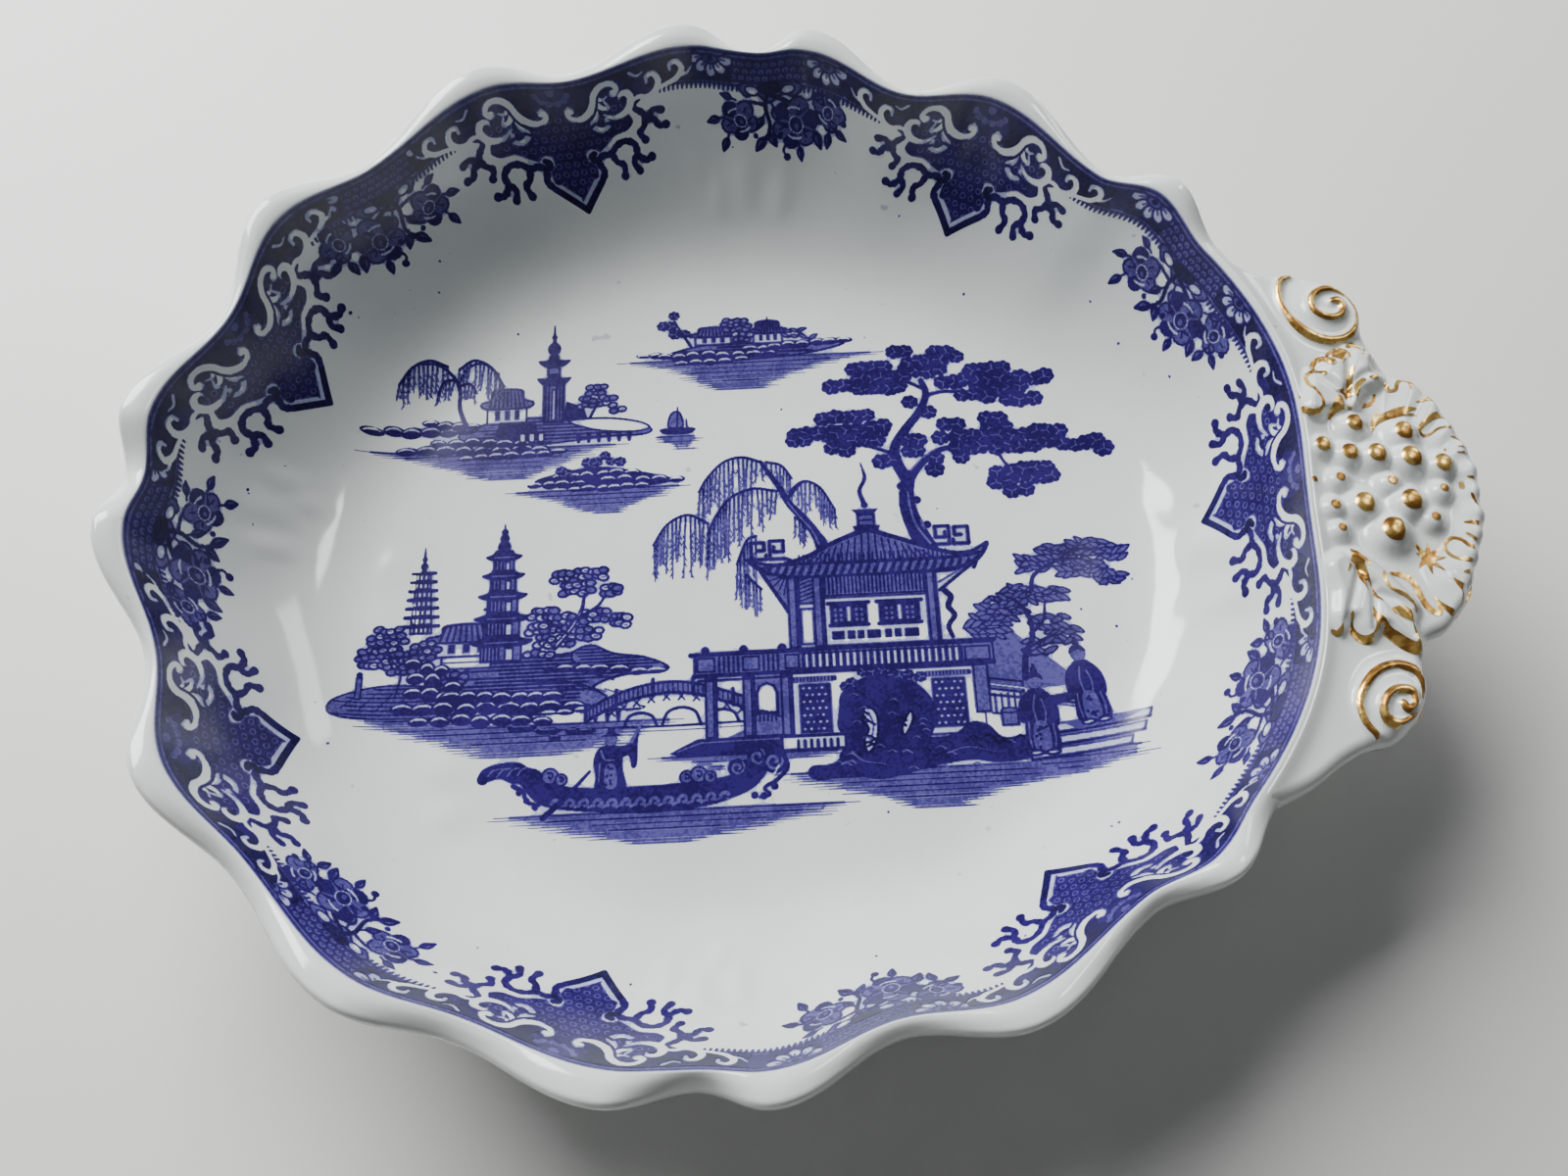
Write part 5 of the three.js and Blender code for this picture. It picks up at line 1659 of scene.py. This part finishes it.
def ink_material(name, colour, pale):
    """Cobalt under the glaze, pooled a little unevenly."""
    material, nodes, links, shader = new_material(name)
    where = nodes.new("ShaderNodeTexCoord").outputs["Object"]
    both = nodes.new("ShaderNodeMath")
    both.operation = "ADD"
    links.new(noise(nodes, links, where, 170.0, 3.0), both.inputs[0])
    links.new(noise(nodes, links, where, 1500.0, 1.0), both.inputs[1])
    pooled = nodes.new("ShaderNodeMath")
    pooled.operation = "MULTIPLY"
    pooled.inputs[1].default_value = POOL_SHARE
    links.new(both.outputs["Value"], pooled.inputs[0])
    tone = ramp(nodes, links, pooled.outputs["Value"], [(0.80, colour), (1.0, pale)])
    links.new(tone, shader.inputs["Base Color"])
    shader.inputs["Roughness"].default_value = INK_ROUGHNESS
    shader.inputs["IOR"].default_value = GLAZE_IOR
    shader.inputs["Specular IOR Level"].default_value = INK_SPECULAR
    return material


pale_ink = ink_material("pale_cobalt", (0.33, 0.36, 0.55), (0.42, 0.45, 0.62))
mid_ink = ink_material("mid_cobalt", (0.044, 0.034, 0.170), (0.084, 0.070, 0.255))
dark_ink = ink_material("dark_cobalt", (0.012, 0.005, 0.066), (0.022, 0.010, 0.112))
black_ink = ink_material("deep_cobalt", (0.007, 0.004, 0.032), (0.013, 0.008, 0.070))


INK_LAYERS = (
    ("bleed", 0.3, 0.55, PALE_LIFT, pale_ink),
    ("wash", 0.5, 1.55, MID_LIFT, mid_ink),
    ("line", 1.5, 2.55, DARK_LIFT, dark_ink),
    ("deep", 2.5, None, BLACK_LIFT, black_ink),
)


def lay_print(name, sheet, surface, start, end, sectors):
    """Lay a sheet on the bowl in side-by-side sectors, one piece for each ink."""
    stops = np.linspace(start, end, sectors + 1).astype(int)
    for k in range(sectors):
        columns = (stops[k], stops[k + 1] + 1)
        for layer, level, covered, lift, ink in INK_LAYERS:
            if (sheet.ink[:, columns[0]:columns[1]] >= level).any():
                skin = f"{name}_{layer}_{k + 1}"
                ink_piece(skin, sheet, surface, level, columns, covered, lift, ink)


landscape = scene_sheet()
lay_print("landscape", landscape, scene_point, 0, len(landscape.xs) - 1, 3)
border = border_sheet()
once_round = np.searchsorted(border.xs, [0, 360 * MM_PER_DEGREE])
lay_print("border", border, border_point, once_round[0], once_round[1], 4)


# ----------------------------------------------------------------- the handle

HANDLE_CELL = 0.2
HANDLE_EDGE_Z = 39.6
HANDLE_TOP_Z = 42.4
HANDLE_BOTTOM_Z = 37.2
EDGE_ROUND = 2.6
LIP_ROUND = 0.9
HOLLOW = 0.6
SCALLOP = 0.12

HANDLE_OUTLINE = [
    (91.6, 56.6), (98.4, 52.4), (104.3, 50.0), (108.4, 49.8), (113.0, 48.4), (117.2, 45.4),
    (120.2, 41.0), (120.6, 36.2),
    (122.4, 31.8), (124.2, 28.2), (128.4, 26.2), (131.8, 22.6), (134.4, 17.8), (136.8, 12.2),
    (138.0, 7.2), (137.7, 2.2),
    (137.8, -2.2), (136.4, -7.0), (134.4, -12.6), (131.8, -18.6), (128.0, -23.4), (124.2, -25.6),
    (122.8, -29.6),
    (122.2, -35.0), (120.0, -40.4), (116.0, -44.2), (111.4, -45.6), (107.0, -48.0), (101.6, -52.2),
    (93.2, -56.6),
    (91.0, -55.2), (88.0, -52.0), (86.0, -40.0), (86.0, 40.0), (88.0, 52.0), (89.6, 55.4),
]
UPPER_SPIRAL = [
    (107.4, 48.9), (105.6, 47.8), (104.8, 45.4), (104.9, 42.4), (106.0, 39.4), (108.0, 36.6),
    (110.6, 34.7), (113.4, 34.0),
    (116.2, 34.6), (118.2, 36.4), (119.0, 39.0), (118.4, 41.8), (116.6, 44.0), (114.0, 44.9),
    (111.6, 44.3), (110.3, 42.6),
    (110.4, 40.4), (111.8, 38.9), (113.8, 38.4), (115.6, 39.2), (116.2, 40.8), (115.4, 42.2),
    (114.2, 42.1),
]
LOWER_SPIRAL = [
    (112.3, -43.8), (110.2, -40.8), (110.0, -36.6), (112.8, -32.4), (116.8, -30.8), (120.2, -32.2),
    (121.3, -35.8), (119.6, -39.6),
    (116.4, -41.6), (113.9, -40.8), (113.6, -38.0), (115.6, -35.7), (118.4, -35.8), (118.8, -38.2),
    (117.2, -39.0), (116.6, -38.0),
]
# Each leaf: outline, then veins as runs of points from its stalk
UPPER_LEAF = [
    (106.4, 19.6), (107.4, 24.0), (108.2, 27.2), (110.6, 27.4), (111.4, 30.2), (114.0, 30.4),
    (115.8, 32.8), (118.6, 32.2),
    (121.0, 31.0), (120.6, 28.0), (122.4, 26.0), (120.6, 23.6), (118.6, 22.6), (116.6, 19.2),
    (113.8, 17.4), (111.4, 18.2), (109.6, 17.0), (107.2, 17.4),
]
UPPER_VEINS = [[(114.6, 18.2), (115.0, 23.0), (115.6, 28.0), (116.4, 31.4)],
    [(114.8, 21.0), (112.0, 24.0), (109.2, 26.0)], [(115.0, 23.0), (118.0, 25.8), (120.6, 27.0)]]
LOWER_LEAF = [
    (106.6, -12.4), (109.6, -9.6), (113.4, -9.4), (117.6, -13.2), (120.4, -16.6), (122.6, -20.0),
    (121.6, -23.4), (122.8, -28.4),
    (120.0, -27.6), (117.6, -25.6), (115.8, -24.2), (113.4, -26.6), (111.6, -24.6), (110.4, -22.6),
    (108.4, -25.6), (107.0, -22.6), (107.4, -17.6),
]
LOWER_VEINS = [[(110.4, -10.2), (113.2, -14.6), (116.6, -19.6), (120.4, -25.4)],
    [(112.4, -13.4), (111.0, -18.0), (108.8, -23.6)], [(114.4, -16.4), (114.2, -20.4),
    (113.6, -24.6)], [(115.6, -18.0), (119.0, -19.4), (121.4, -21.4)]]
TIP_MIDDLE = (118.5, 1.0)
TIP_FROM, TIP_TO = -66, 78
TIP_FLUTES = 12
TIP_INNER = 12.6

GRAPES = [
    (115.2, 15.7, 1.7), (124.0, 14.2, 1.9), (108.9, 11.2, 1.5), (113.6, 9.7, 1.6), (118.5, 9.5, 1.9),
    (124.6, 8.9, 2.1), (130.2, 7.8, 1.8),
    (111.2, 4.5, 1.3), (120.4, 4.0, 1.4), (129.6, 2.8, 1.2), (109.6, -1.1, 1.4), (115.0, -0.6, 2.0),
    (123.4, 0.1, 2.1), (110.4, -5.5, 1.2),
    (119.4, -5.9, 2.4), (127.2, -3.0, 1.3),
]


def smooth(t):
    t = np.clip(t, 0, 1)
    return t * t * (3 - 2 * t)


def distance_to(x, y, path):
    """Distance from points to a run of straight pieces."""
    nearest = np.full(np.broadcast(x, y).shape, 1e9)
    for a, b in zip(path[:-1], path[1:]):
        along = np.subtract(b, a)
        dx, dy = x - a[0], y - a[1]
        share = np.clip((dx * along[0] + dy * along[1]) / max(along @ along, 1e-9), 0, 1)
        nearest = np.minimum(nearest, np.hypot(dx - share * along[0], dy - share * along[1]))
    return nearest


def depth_inside(x, y, outline):
    """Distance inside a closed outline, negative outside it."""
    closed = np.concatenate([outline, outline[:1]])
    inside = np.zeros(np.broadcast(x, y).shape, bool)
    for a, b in zip(closed[:-1], closed[1:]):
        if a[1] != b[1]:
            inside ^= ((a[1] > y) != (b[1] > y)) & (x - a[0] < (b[0] - a[0]) * (y - a[1]) / (b[1] - a[1]))
    return np.where(inside, 1, -1) * distance_to(x, y, closed)


class Handle:
    """Heights and outlines of the handle on one grid over its plan."""

    def __init__(self):
        self.sheet = Sheet(90, -62, 142, 62, HANDLE_CELL)
        x, y = self.sheet.xs[None, :], self.sheet.ys[:, None]
        angle, radius = np.arctan2(y, x), np.hypot(x, y)
        beyond_lip = radius - lip_edge(angle)[0]
        outline = curve(HANDLE_OUTLINE, 6, True)
        outer_depth = depth_inside(x, y, outline)
        tip_turn = np.degrees(np.arctan2((y - TIP_MIDDLE[1]) / 1.15, x - TIP_MIDDLE[0]))
        tip_reach = np.hypot((y - TIP_MIDDLE[1]) / 1.15, x - TIP_MIDDLE[0])
        flute = np.cos(np.radians((tip_turn - TIP_FROM) / (TIP_TO - TIP_FROM) * 360 * TIP_FLUTES))
        on_tip = smooth((tip_turn - TIP_FROM) / 8) * smooth((TIP_TO - tip_turn) / 8)
        # scallops bite a little into the outline round the tip
        outer_depth = outer_depth - on_tip * SCALLOP * (1 - flute) * smooth((tip_reach - 14) / 4)
        self.depth = np.minimum(outer_depth, beyond_lip - 0.15)
        heights = HANDLE_TOP_Z + 1.45 * np.exp(-(beyond_lip / 2.8) ** 2) + np.zeros_like(outer_depth)
        heights = heights - 0.9 * np.exp(-((x - 122) / 9) ** 2 - ((y - 3) / 14) ** 2)
        # tip leaf
        rise = smooth((tip_reach - TIP_INNER) / 4.5) * on_tip
        heights = heights + rise * (0.9 + 0.2 * flute * smooth((tip_reach - TIP_INNER) / 5))
        # vine leaves
        self.masks = {}
        for name, shape, veins, high in (("leaf_upper", UPPER_LEAF, UPPER_VEINS, 2.3),
                ("leaf_lower", LOWER_LEAF, LOWER_VEINS, 2.4)):
            depth = depth_inside(x, y, curve(shape, 4, True))
            self.masks[name] = depth
            heights = heights + high * smooth((depth + 0.9) / 2.6)
            for vein in veins:
                heights = heights - 0.75 * np.exp(-(distance_to(x, y,
                    curve(vein, 4)) / 0.75) ** 2) * smooth(depth / 1.2)
        # scrolls
        for name, spiral in (("scroll_upper", UPPER_SPIRAL), ("scroll_lower", LOWER_SPIRAL)):
            middle = np.mean(spiral[-12:-2], 0)
            away = np.hypot(x - middle[0], y - middle[1])
            heights = heights + 1.5 * smooth((9.4 - away) / 6.5)
            heights = heights + 1.05 * np.exp(-(distance_to(x, y, curve(spiral, 5)) / 0.85) ** 2)
            self.masks[name] = 7.4 - away
        # berries
        for k, (gx, gy, size) in enumerate(GRAPES):
            away = np.hypot(x - gx, y - gy)
            wide = size * 1.1 + 0.95
            dome = (size * 0.92 + 0.7) * np.exp(-(away / wide) ** 3.2)
            heights = np.maximum(heights, HANDLE_TOP_Z - 0.3 + dome) + 0.2 * dome
            self.masks[f"grape_{k + 1:02d}"] = size * 1.15 - away
        self.masks["leaf_tip"] = np.minimum((tip_reach - TIP_INNER - 1.6),
            np.minimum(tip_turn - TIP_FROM - 2, TIP_TO - 2 - tip_turn) * 0.3)
        heights = blurred(heights, 5)
        # the edge is well rounded outside, and tight where it sinks into the lip
        outside = 1 - np.clip(outer_depth / EDGE_ROUND, 0, 1)
        into_lip = 1 - np.clip((beyond_lip - 0.15) / LIP_ROUND, 0, 1)
        rounding = np.sqrt(1 - outside ** 2) * np.sqrt(1 - into_lip ** 2) * (self.depth > 0)
        self.top = HANDLE_EDGE_Z + (heights - HANDLE_EDGE_Z) * rounding
        self.bottom = HANDLE_EDGE_Z - (HANDLE_EDGE_Z - HANDLE_BOTTOM_Z) * rounding
        covered = np.zeros_like(self.depth)
        for depth in self.masks.values():
            covered = np.maximum(covered, smooth(depth / 0.8))
        self.plate = self.top - HOLLOW * covered * rounding

    def sample(self, field, u, v):
        """A field's value at plan points, blended between the grid's corners."""
        sheet = self.sheet
        c = np.clip((u - sheet.xs[0]) / sheet.cell, 0, len(sheet.xs) - 1.001)
        r = np.clip((v - sheet.ys[0]) / sheet.cell, 0, len(sheet.ys) - 1.001)
        c0, r0 = c.astype(int), r.astype(int)
        fc, fr = c - c0, r - r0
        low = field[r0, c0] * (1 - fc) + field[r0, c0 + 1] * fc
        high = field[r0 + 1, c0] * (1 - fc) + field[r0 + 1, c0 + 1] * fc
        return low * (1 - fr) + high * fr

    def surface(self, field):
        """A height field as a function of plan points."""
        return lambda u, v: np.stack([u, v, self.sample(field, u, v)], -1)

    def region(self, depth):
        """Polygons over the part of the grid where a depth is above nothing."""
        return contour(self.sheet, depth, 0.0, (0, len(self.sheet.xs)))


handle = Handle()


def handle_pieces():
    """The handle's plate, and a skin over it for each CAD node of its ornament."""
    u, v, loops, sizes = handle.region(handle.depth)
    top = handle.surface(handle.plate)(u, v)
    under = handle.surface(handle.bottom)(u, v)
    points = np.concatenate([top, under])
    both = np.concatenate([loops, reversed_loops(loops, sizes) + len(top)])
    both_sizes = np.concatenate([sizes, sizes])
    patch_piece("handle", points, both, both_sizes, white_glaze, ["handle_plate"])
    for name, depth in handle.masks.items():
        u, v, loops, sizes = handle.region(np.minimum(depth, handle.depth))
        top = handle.surface(handle.top)(u, v)
        patch_piece(name + "_relief", top, loops, sizes, white_glaze, [name])


handle_pieces()


# ---------------------------------------------------------------- the gilding


def gold_material():
    """Brushed-on gold, its colour in random patches of brown painted shade and bright painted glint."""
    material, nodes, links, shader = new_material("gold_painted_shade_glints")
    where = nodes.new("ShaderNodeTexCoord").outputs["Object"]
    painted_shade_and_glint = noise(nodes, links, where, 330.0, 3.0, 0.55)
    # Painted shade and glints: the noise splits the gold into dark brown and bright yellow patches
    # standing in for its shaded and lit parts
    tone = ramp(nodes, links, painted_shade_and_glint, [(0.44, (0.40, 0.20, 0.05)), (0.56, (0.98, 0.64, 0.19))])
    links.new(tone, shader.inputs["Base Color"])
    dull = ramp(nodes, links, painted_shade_and_glint, [(0.3, (0.38, 0.38, 0.38)), (0.7, (0.25, 0.25, 0.25))])
    links.new(dull, shader.inputs["Roughness"])
    shader.inputs["Metallic"].default_value = 0.92
    dents = noise(nodes, links, where, 750.0, 1.0)
    bump(nodes, links, dents, 0.0003, 0.35, shader)
    return material


gold = gold_material()


# Brush strokes on the leaves: each a run of points, then the width at its start, middle and end
UPPER_LEAF_STROKES = [
    ([(104.6, 24.8), (105.2, 22.9), (106.4, 21.5)], 0.5, 0.9, 0.5),
    ([(111.4, 26.5), (110.2, 27.1), (108.9, 26.8), (108.1, 25.9), (108.3, 24.0), (109.2, 22.3),
    (110.1, 20.9),
      (110.1, 19.3), (109.2, 18.3), (107.8, 18.1), (106.5, 19.0)], 0.8, 0.5, 1.0),
    ([(110.3, 27.2), (109.9, 28.8), (110.8, 30.1), (112.1, 30.2), (113.0, 28.9)], 0.7, 1.0, 1.4),
    ([(112.6, 30.4), (113.2, 31.8), (114.1, 32.4)], 0.5, 0.5, 0.4),
    ([(114.5, 32.6), (114.8, 31.0), (115.2, 28.8)], 0.7, 1.6, 0.6),
    ([(116.9, 30.4), (115.8, 31.6), (115.4, 32.8)], 0.4, 0.9, 0.4),
    ([(116.7, 32.7), (117.8, 33.7), (118.9, 33.1), (119.3, 31.8), (118.8, 30.9)], 0.8, 1.0, 0.5),
    ([(119.3, 32.1), (120.8, 32.6), (121.9, 31.8), (121.5, 30.2), (120.5, 29.0),
    (120.4, 28.0)], 0.6, 0.9, 0.8),
    ([(120.8, 28.4), (121.6, 27.2), (121.0, 26.0), (119.7, 25.6)], 0.6, 0.8, 0.5),
    ([(116.9, 28.0), (116.0, 25.8), (115.6, 23.9), (114.7, 22.2), (113.4, 20.7), (112.4, 19.2),
    (111.8, 17.8)], 0.4, 1.7, 0.5),
    ([(112.9, 22.6), (114.6, 22.6), (116.2, 22.0)], 0.4, 1.3, 0.4),
    ([(112.3, 18.6), (113.9, 19.4), (115.6, 19.4)], 0.5, 1.0, 0.5),
    ([(118.4, 25.2), (117.2, 24.0), (116.9, 22.4), (117.7, 21.1), (119.2, 20.8), (120.5, 21.7),
    (120.9, 23.0)], 0.9, 0.8, 0.5),
    ([(119.2, 15.5), (120.5, 17.5), (122.9, 18.7), (125.2, 19.6), (127.8, 20.0)], 0.6, 1.7, 0.4),
    ([(119.9, 16.6), (120.4, 18.2), (121.1, 20.2)], 0.9, 0.6, 0.2),
    ([(123.2, 18.2), (125.4, 18.7), (127.8, 18.6)], 0.8, 0.6, 0.3),
]
TIP_STROKES = [
    ([(123.3, 25.4), (123.7, 24.0), (124.8, 24.1), (125.3, 25.5), (126.3, 26.2), (127.4, 25.5),
    (127.4, 24.2)], 0.8, 0.6, 0.5),
    ([(127.6, 26.1), (128.8, 25.0), (129.9, 24.3)], 0.9, 0.8, 0.2),
    ([(128.0, 21.3), (130.2, 22.0), (131.7, 22.4)], 0.2, 0.7, 1.5),
    ([(133.4, 18.9), (131.2, 18.6), (129.2, 17.2), (128.0, 15.7), (128.5, 14.6), (129.9, 14.8),
    (131.3, 15.8),
      (132.8, 16.1), (134.7, 16.1)], 1.5, 0.5, 0.4),
    ([(133.4, 14.3), (134.8, 14.0), (136.3, 13.3)], 0.2, 0.5, 0.5),
    ([(134.0, 10.9), (135.6, 11.0), (137.4, 11.1)], 0.2, 0.5, 1.4),
    ([(134.4, 12.2), (136.0, 12.0), (137.0, 11.6)], 0.2, 0.4, 0.6),
    ([(135.2, 6.1), (136.6, 6.0), (137.5, 6.0)], 0.3, 0.7, 1.6),
    ([(137.5, 6.4), (137.3, 5.0), (136.9, 4.0)], 1.2, 0.9, 0.5),
    ([(135.4, 2.6), (136.0, 1.0), (137.2, -0.2), (137.8, -1.8)], 0.5, 0.5, 0.3),
    ([(133.5, -2.9), (135.4, -3.1), (137.4, -3.6)], 0.4, 0.9, 1.0),
    ([(137.0, -3.6), (136.4, -5.4), (135.2, -6.4), (133.4, -5.1)], 1.3, 0.8, 0.4),
    ([(136.2, -5.6), (135.7, -7.0), (134.4, -7.9), (133.2, -7.5), (132.4, -6.4), (131.0, -5.9),
    (129.8, -6.7), (129.5, -8.3),
      (130.5, -9.8), (132.0, -10.3), (133.2, -10.3), (134.2, -11.2)], 1.0, 0.6, 0.8),
    ([(131.6, -12.8), (133.0, -12.6), (134.2, -12.0)], 0.3, 0.8, 1.2),
    ([(134.2, -11.2), (134.1, -13.6), (133.5, -15.6), (132.2, -17.6), (131.0, -19.4),
    (129.6, -20.8)], 0.6, 1.1, 0.8),
    ([(129.6, -14.2), (131.0, -15.6), (132.6, -16.4)], 0.4, 1.5, 1.4),
    ([(131.4, -16.4), (131.0, -18.8), (129.6, -20.5), (128.2, -19.8), (127.0, -18.6),
    (126.0, -17.3)], 1.5, 1.1, 0.3),
    ([(126.8, -18.6), (126.5, -20.3), (125.4, -20.1), (124.3, -18.8), (123.6, -16.9), (122.9, -14.9),
    (121.7, -13.7),
      (120.2, -13.2), (118.4, -13.3)], 0.8, 1.2, 0.6),
]
LOWER_LEAF_STROKES = [
    ([(119.2, -13.2), (117.2, -13.6), (116.8, -15.2), (117.9, -16.8), (119.9, -17.9), (121.5, -19.3),
    (122.3, -20.9),
      (121.4, -21.4)], 0.7, 0.6, 1.0),
    ([(117.6, -20.6), (119.4, -21.0), (120.9, -22.2)], 0.5, 1.9, 1.4),
    ([(121.2, -21.4), (121.4, -23.6), (121.9, -25.9), (121.4, -27.4), (119.6, -26.7), (117.6, -25.1),
    (115.8, -23.3),
      (114.6, -21.7), (114.1, -20.4)], 0.9, 1.7, 0.6),
    ([(110.7, -21.3), (110.6, -23.4), (111.4, -25.1), (113.0, -26.0), (114.4, -25.2), (115.0, -23.7),
    (114.8, -22.6)], 0.5, 1.4, 0.7),
    ([(109.9, -19.2), (109.4, -21.6), (108.9, -23.6), (108.0, -25.0), (107.1, -24.8)], 0.3, 0.7, 1.0),
    ([(112.3, -9.5), (112.9, -12.0), (113.6, -15.0), (114.6, -17.2), (116.1, -19.0)], 1.0, 1.8, 0.3),
    ([(112.2, -11.0), (111.4, -12.2), (110.5, -13.8)], 0.8, 0.6, 0.2),
    ([(112.9, -10.8), (113.9, -11.4), (114.8, -12.4)], 0.8, 0.6, 0.2),
]
# The leaf strokes are laid out as seen on a level plane; this shift carries them to the raised leaves
STROKE_SHIFT = (-0.45, -0.35)
STAR_MIDDLE = (125.7, -10.2)
STAR_RAYS = [(-2.4, 3.0), (0.4, 2.9), (2.4, 1.9), (3.0, 0.0), (2.3, -2.6), (0.2, -3.1), (-2.0, -2.0),
    (-1.9, 0.8)]
SMALL_DOTS = [(106.9, 4.4, 0.55), (133.6, 3.8, 0.5), (133.6, 4.4, 0.45), (127.3, 9.0, 0.25),
    (131.6, 11.2, 0.25)]
BIG_BERRY = 1.45
GILDING_LIFT = 0.11


def gilding_sheet():
    """All the brush work in gold, over the handle's plan."""
    sheet = Sheet(96, -60, 142, 60, 0.15)
    pen = Pen(sheet)
    pen.line(UPPER_SPIRAL, 1.0, 2, 1.1, middle=1.25)
    pen.line(UPPER_SPIRAL[3:9], 0.9, 2, 0.9, middle=1.7)
    pen.line(UPPER_SPIRAL[-4:], 1.0, 2, 0.9, middle=1.7)
    pen.line(LOWER_SPIRAL, 0.9, 2, 1.2, middle=1.6)
    pen.line(LOWER_SPIRAL[4:9], 1.2, 2, 1.4, middle=2.3)
    for x, y, size in GRAPES:
        pen.dot(x + 0.1, y + 0.1, size * (0.95 if size > BIG_BERRY else 0.62))
    for x, y, size in SMALL_DOTS:
        pen.dot(x, y, size)
    brush = pen.at(*STROKE_SHIFT)
    for points, start, middle, end in UPPER_LEAF_STROKES + TIP_STROKES + LOWER_LEAF_STROKES:
        brush.line(points, start, 2, end, middle=middle)
    # a star-like splash beside the lower leaf
    star = pen.at(*STAR_MIDDLE)
    for ray in STAR_RAYS:
        star.line([(0, 0), ray], 1.5, 2, 0.25, False)
    star.dot(0, 0, 1.3)
    return sheet


gilt = gilding_sheet()
handle_top = handle.surface(handle.top)
ink_piece("gilding", gilt, handle_top, 1.0, (0, len(gilt.xs)), None, GILDING_LIFT, gold)

# ------------------------------------------------------- camera, floor, light

CAMERA_ELEVATION = math.radians(68.9)
CAMERA_TURN = math.radians(4.54)
CAMERA_ROLL = math.radians(-2.76)
CAMERA_DISTANCE = 228.1
LOOK_RIGHT = 9.19
LOOK_NEAR = -19.51
LENS = 29.1
SENSOR_WIDTH = 36
CLIP_START = 0.01


def place_camera():
    """The photo's viewpoint: how high, how far round the dish, and where it looks."""
    data = bpy.data.cameras.new("camera")
    data.lens = LENS
    data.sensor_width = SENSOR_WIDTH
    data.clip_start = CLIP_START
    obj = bpy.data.objects.new("camera", data)
    bpy.context.scene.collection.objects.link(obj)
    about_z = Matrix.Rotation(CAMERA_TURN, 3, "Z")
    back = about_z @ Vector((0, -math.cos(CAMERA_ELEVATION), math.sin(CAMERA_ELEVATION)))
    right = about_z @ Vector((1, 0, 0))
    up = back.cross(right)
    look = about_z @ Vector((LOOK_RIGHT, LOOK_NEAR, 0)) + Vector((CENTRE_X, 0, RIM_DIP_Z))
    c, s = math.cos(CAMERA_ROLL), math.sin(CAMERA_ROLL)
    rolled_right = right * c + up * s
    rolled_up = up * c - right * s
    place = Matrix((rolled_right, rolled_up, back)).transposed().to_4x4()
    place.translation = (look + back * CAMERA_DISTANCE) * MM
    obj.matrix_world = place
    bpy.context.scene.camera = obj


place_camera()


FLOOR_REACH = 9
FLOOR_COLOUR = (0.80, 0.79, 0.77, 1)
FLOOR_ROUGHNESS = 0.6


def add_floor():
    """A plain pale floor, wide enough to fill every view."""
    material, _, _, shader = new_material("pale_floor")
    shader.inputs["Base Color"].default_value = FLOOR_COLOUR
    shader.inputs["Roughness"].default_value = FLOOR_ROUGHNESS
    corners = [(x * FLOOR_REACH, y * FLOOR_REACH, 0) for x, y in ((-1, -1), (1, -1), (1, 1), (-1, 1))]
    mesh = bpy.data.meshes.new("floor")
    mesh.from_pydata(corners, [], [(0, 1, 2, 3)])
    mesh.materials.append(material)
    obj = bpy.data.objects.new("floor", mesh)
    bpy.context.scene.collection.objects.link(obj)


add_floor()


def area_light(name, place, target, size, power, colour, lights=True, shines=True):
    """A soft panel that lights surfaces, shows in their gloss, or does both."""
    data = bpy.data.lights.new(name, "AREA")
    data.shape = "RECTANGLE"
    data.size, data.size_y = size
    data.energy = power
    data.color = colour
    obj = bpy.data.objects.new(name, data)
    bpy.context.scene.collection.objects.link(obj)
    obj.location = place
    obj.rotation_euler = (Vector(target) - Vector(place)).to_track_quat("-Z", "Y").to_euler()
    obj.visible_camera = False
    obj.visible_diffuse = lights
    obj.visible_glossy = shines


COOL_WHITE = (0.97, 0.985, 1.0)
area_light("daylight", (-0.42, 0.60, 0.60), (-0.10, 0.09, 0.02), (0.82, 0.64), 24.5, (0.99, 0.995, 1.0),
    shines=False)
area_light("window", (-0.63, 0.52, 0.73), (0.02, -0.02, 0.02), (0.52, 0.48), 18, COOL_WHITE, lights=False)
area_light("side_window", (0.58, 0.69, 0.46), (0, 0, 0.02), (0.20, 0.30), 1.5, COOL_WHITE, lights=False)
area_light("far_window", (0.42, 0.42, 0.95), (0, 0, 0.03), (0.12, 0.26), 1.6, (0.96, 0.98, 1.0),
    lights=False)

WORLD_COLOUR = (0.92, 0.94, 0.97, 1)
WORLD_STRENGTH = 0.11


def world_light():
    """Faint even light from all round."""
    world = bpy.data.worlds.new("studio")
    bpy.context.scene.world = world
    world.use_nodes = True
    background = world.node_tree.nodes["Background"]
    background.inputs["Color"].default_value = WORLD_COLOUR
    background.inputs["Strength"].default_value = WORLD_STRENGTH


world_light()
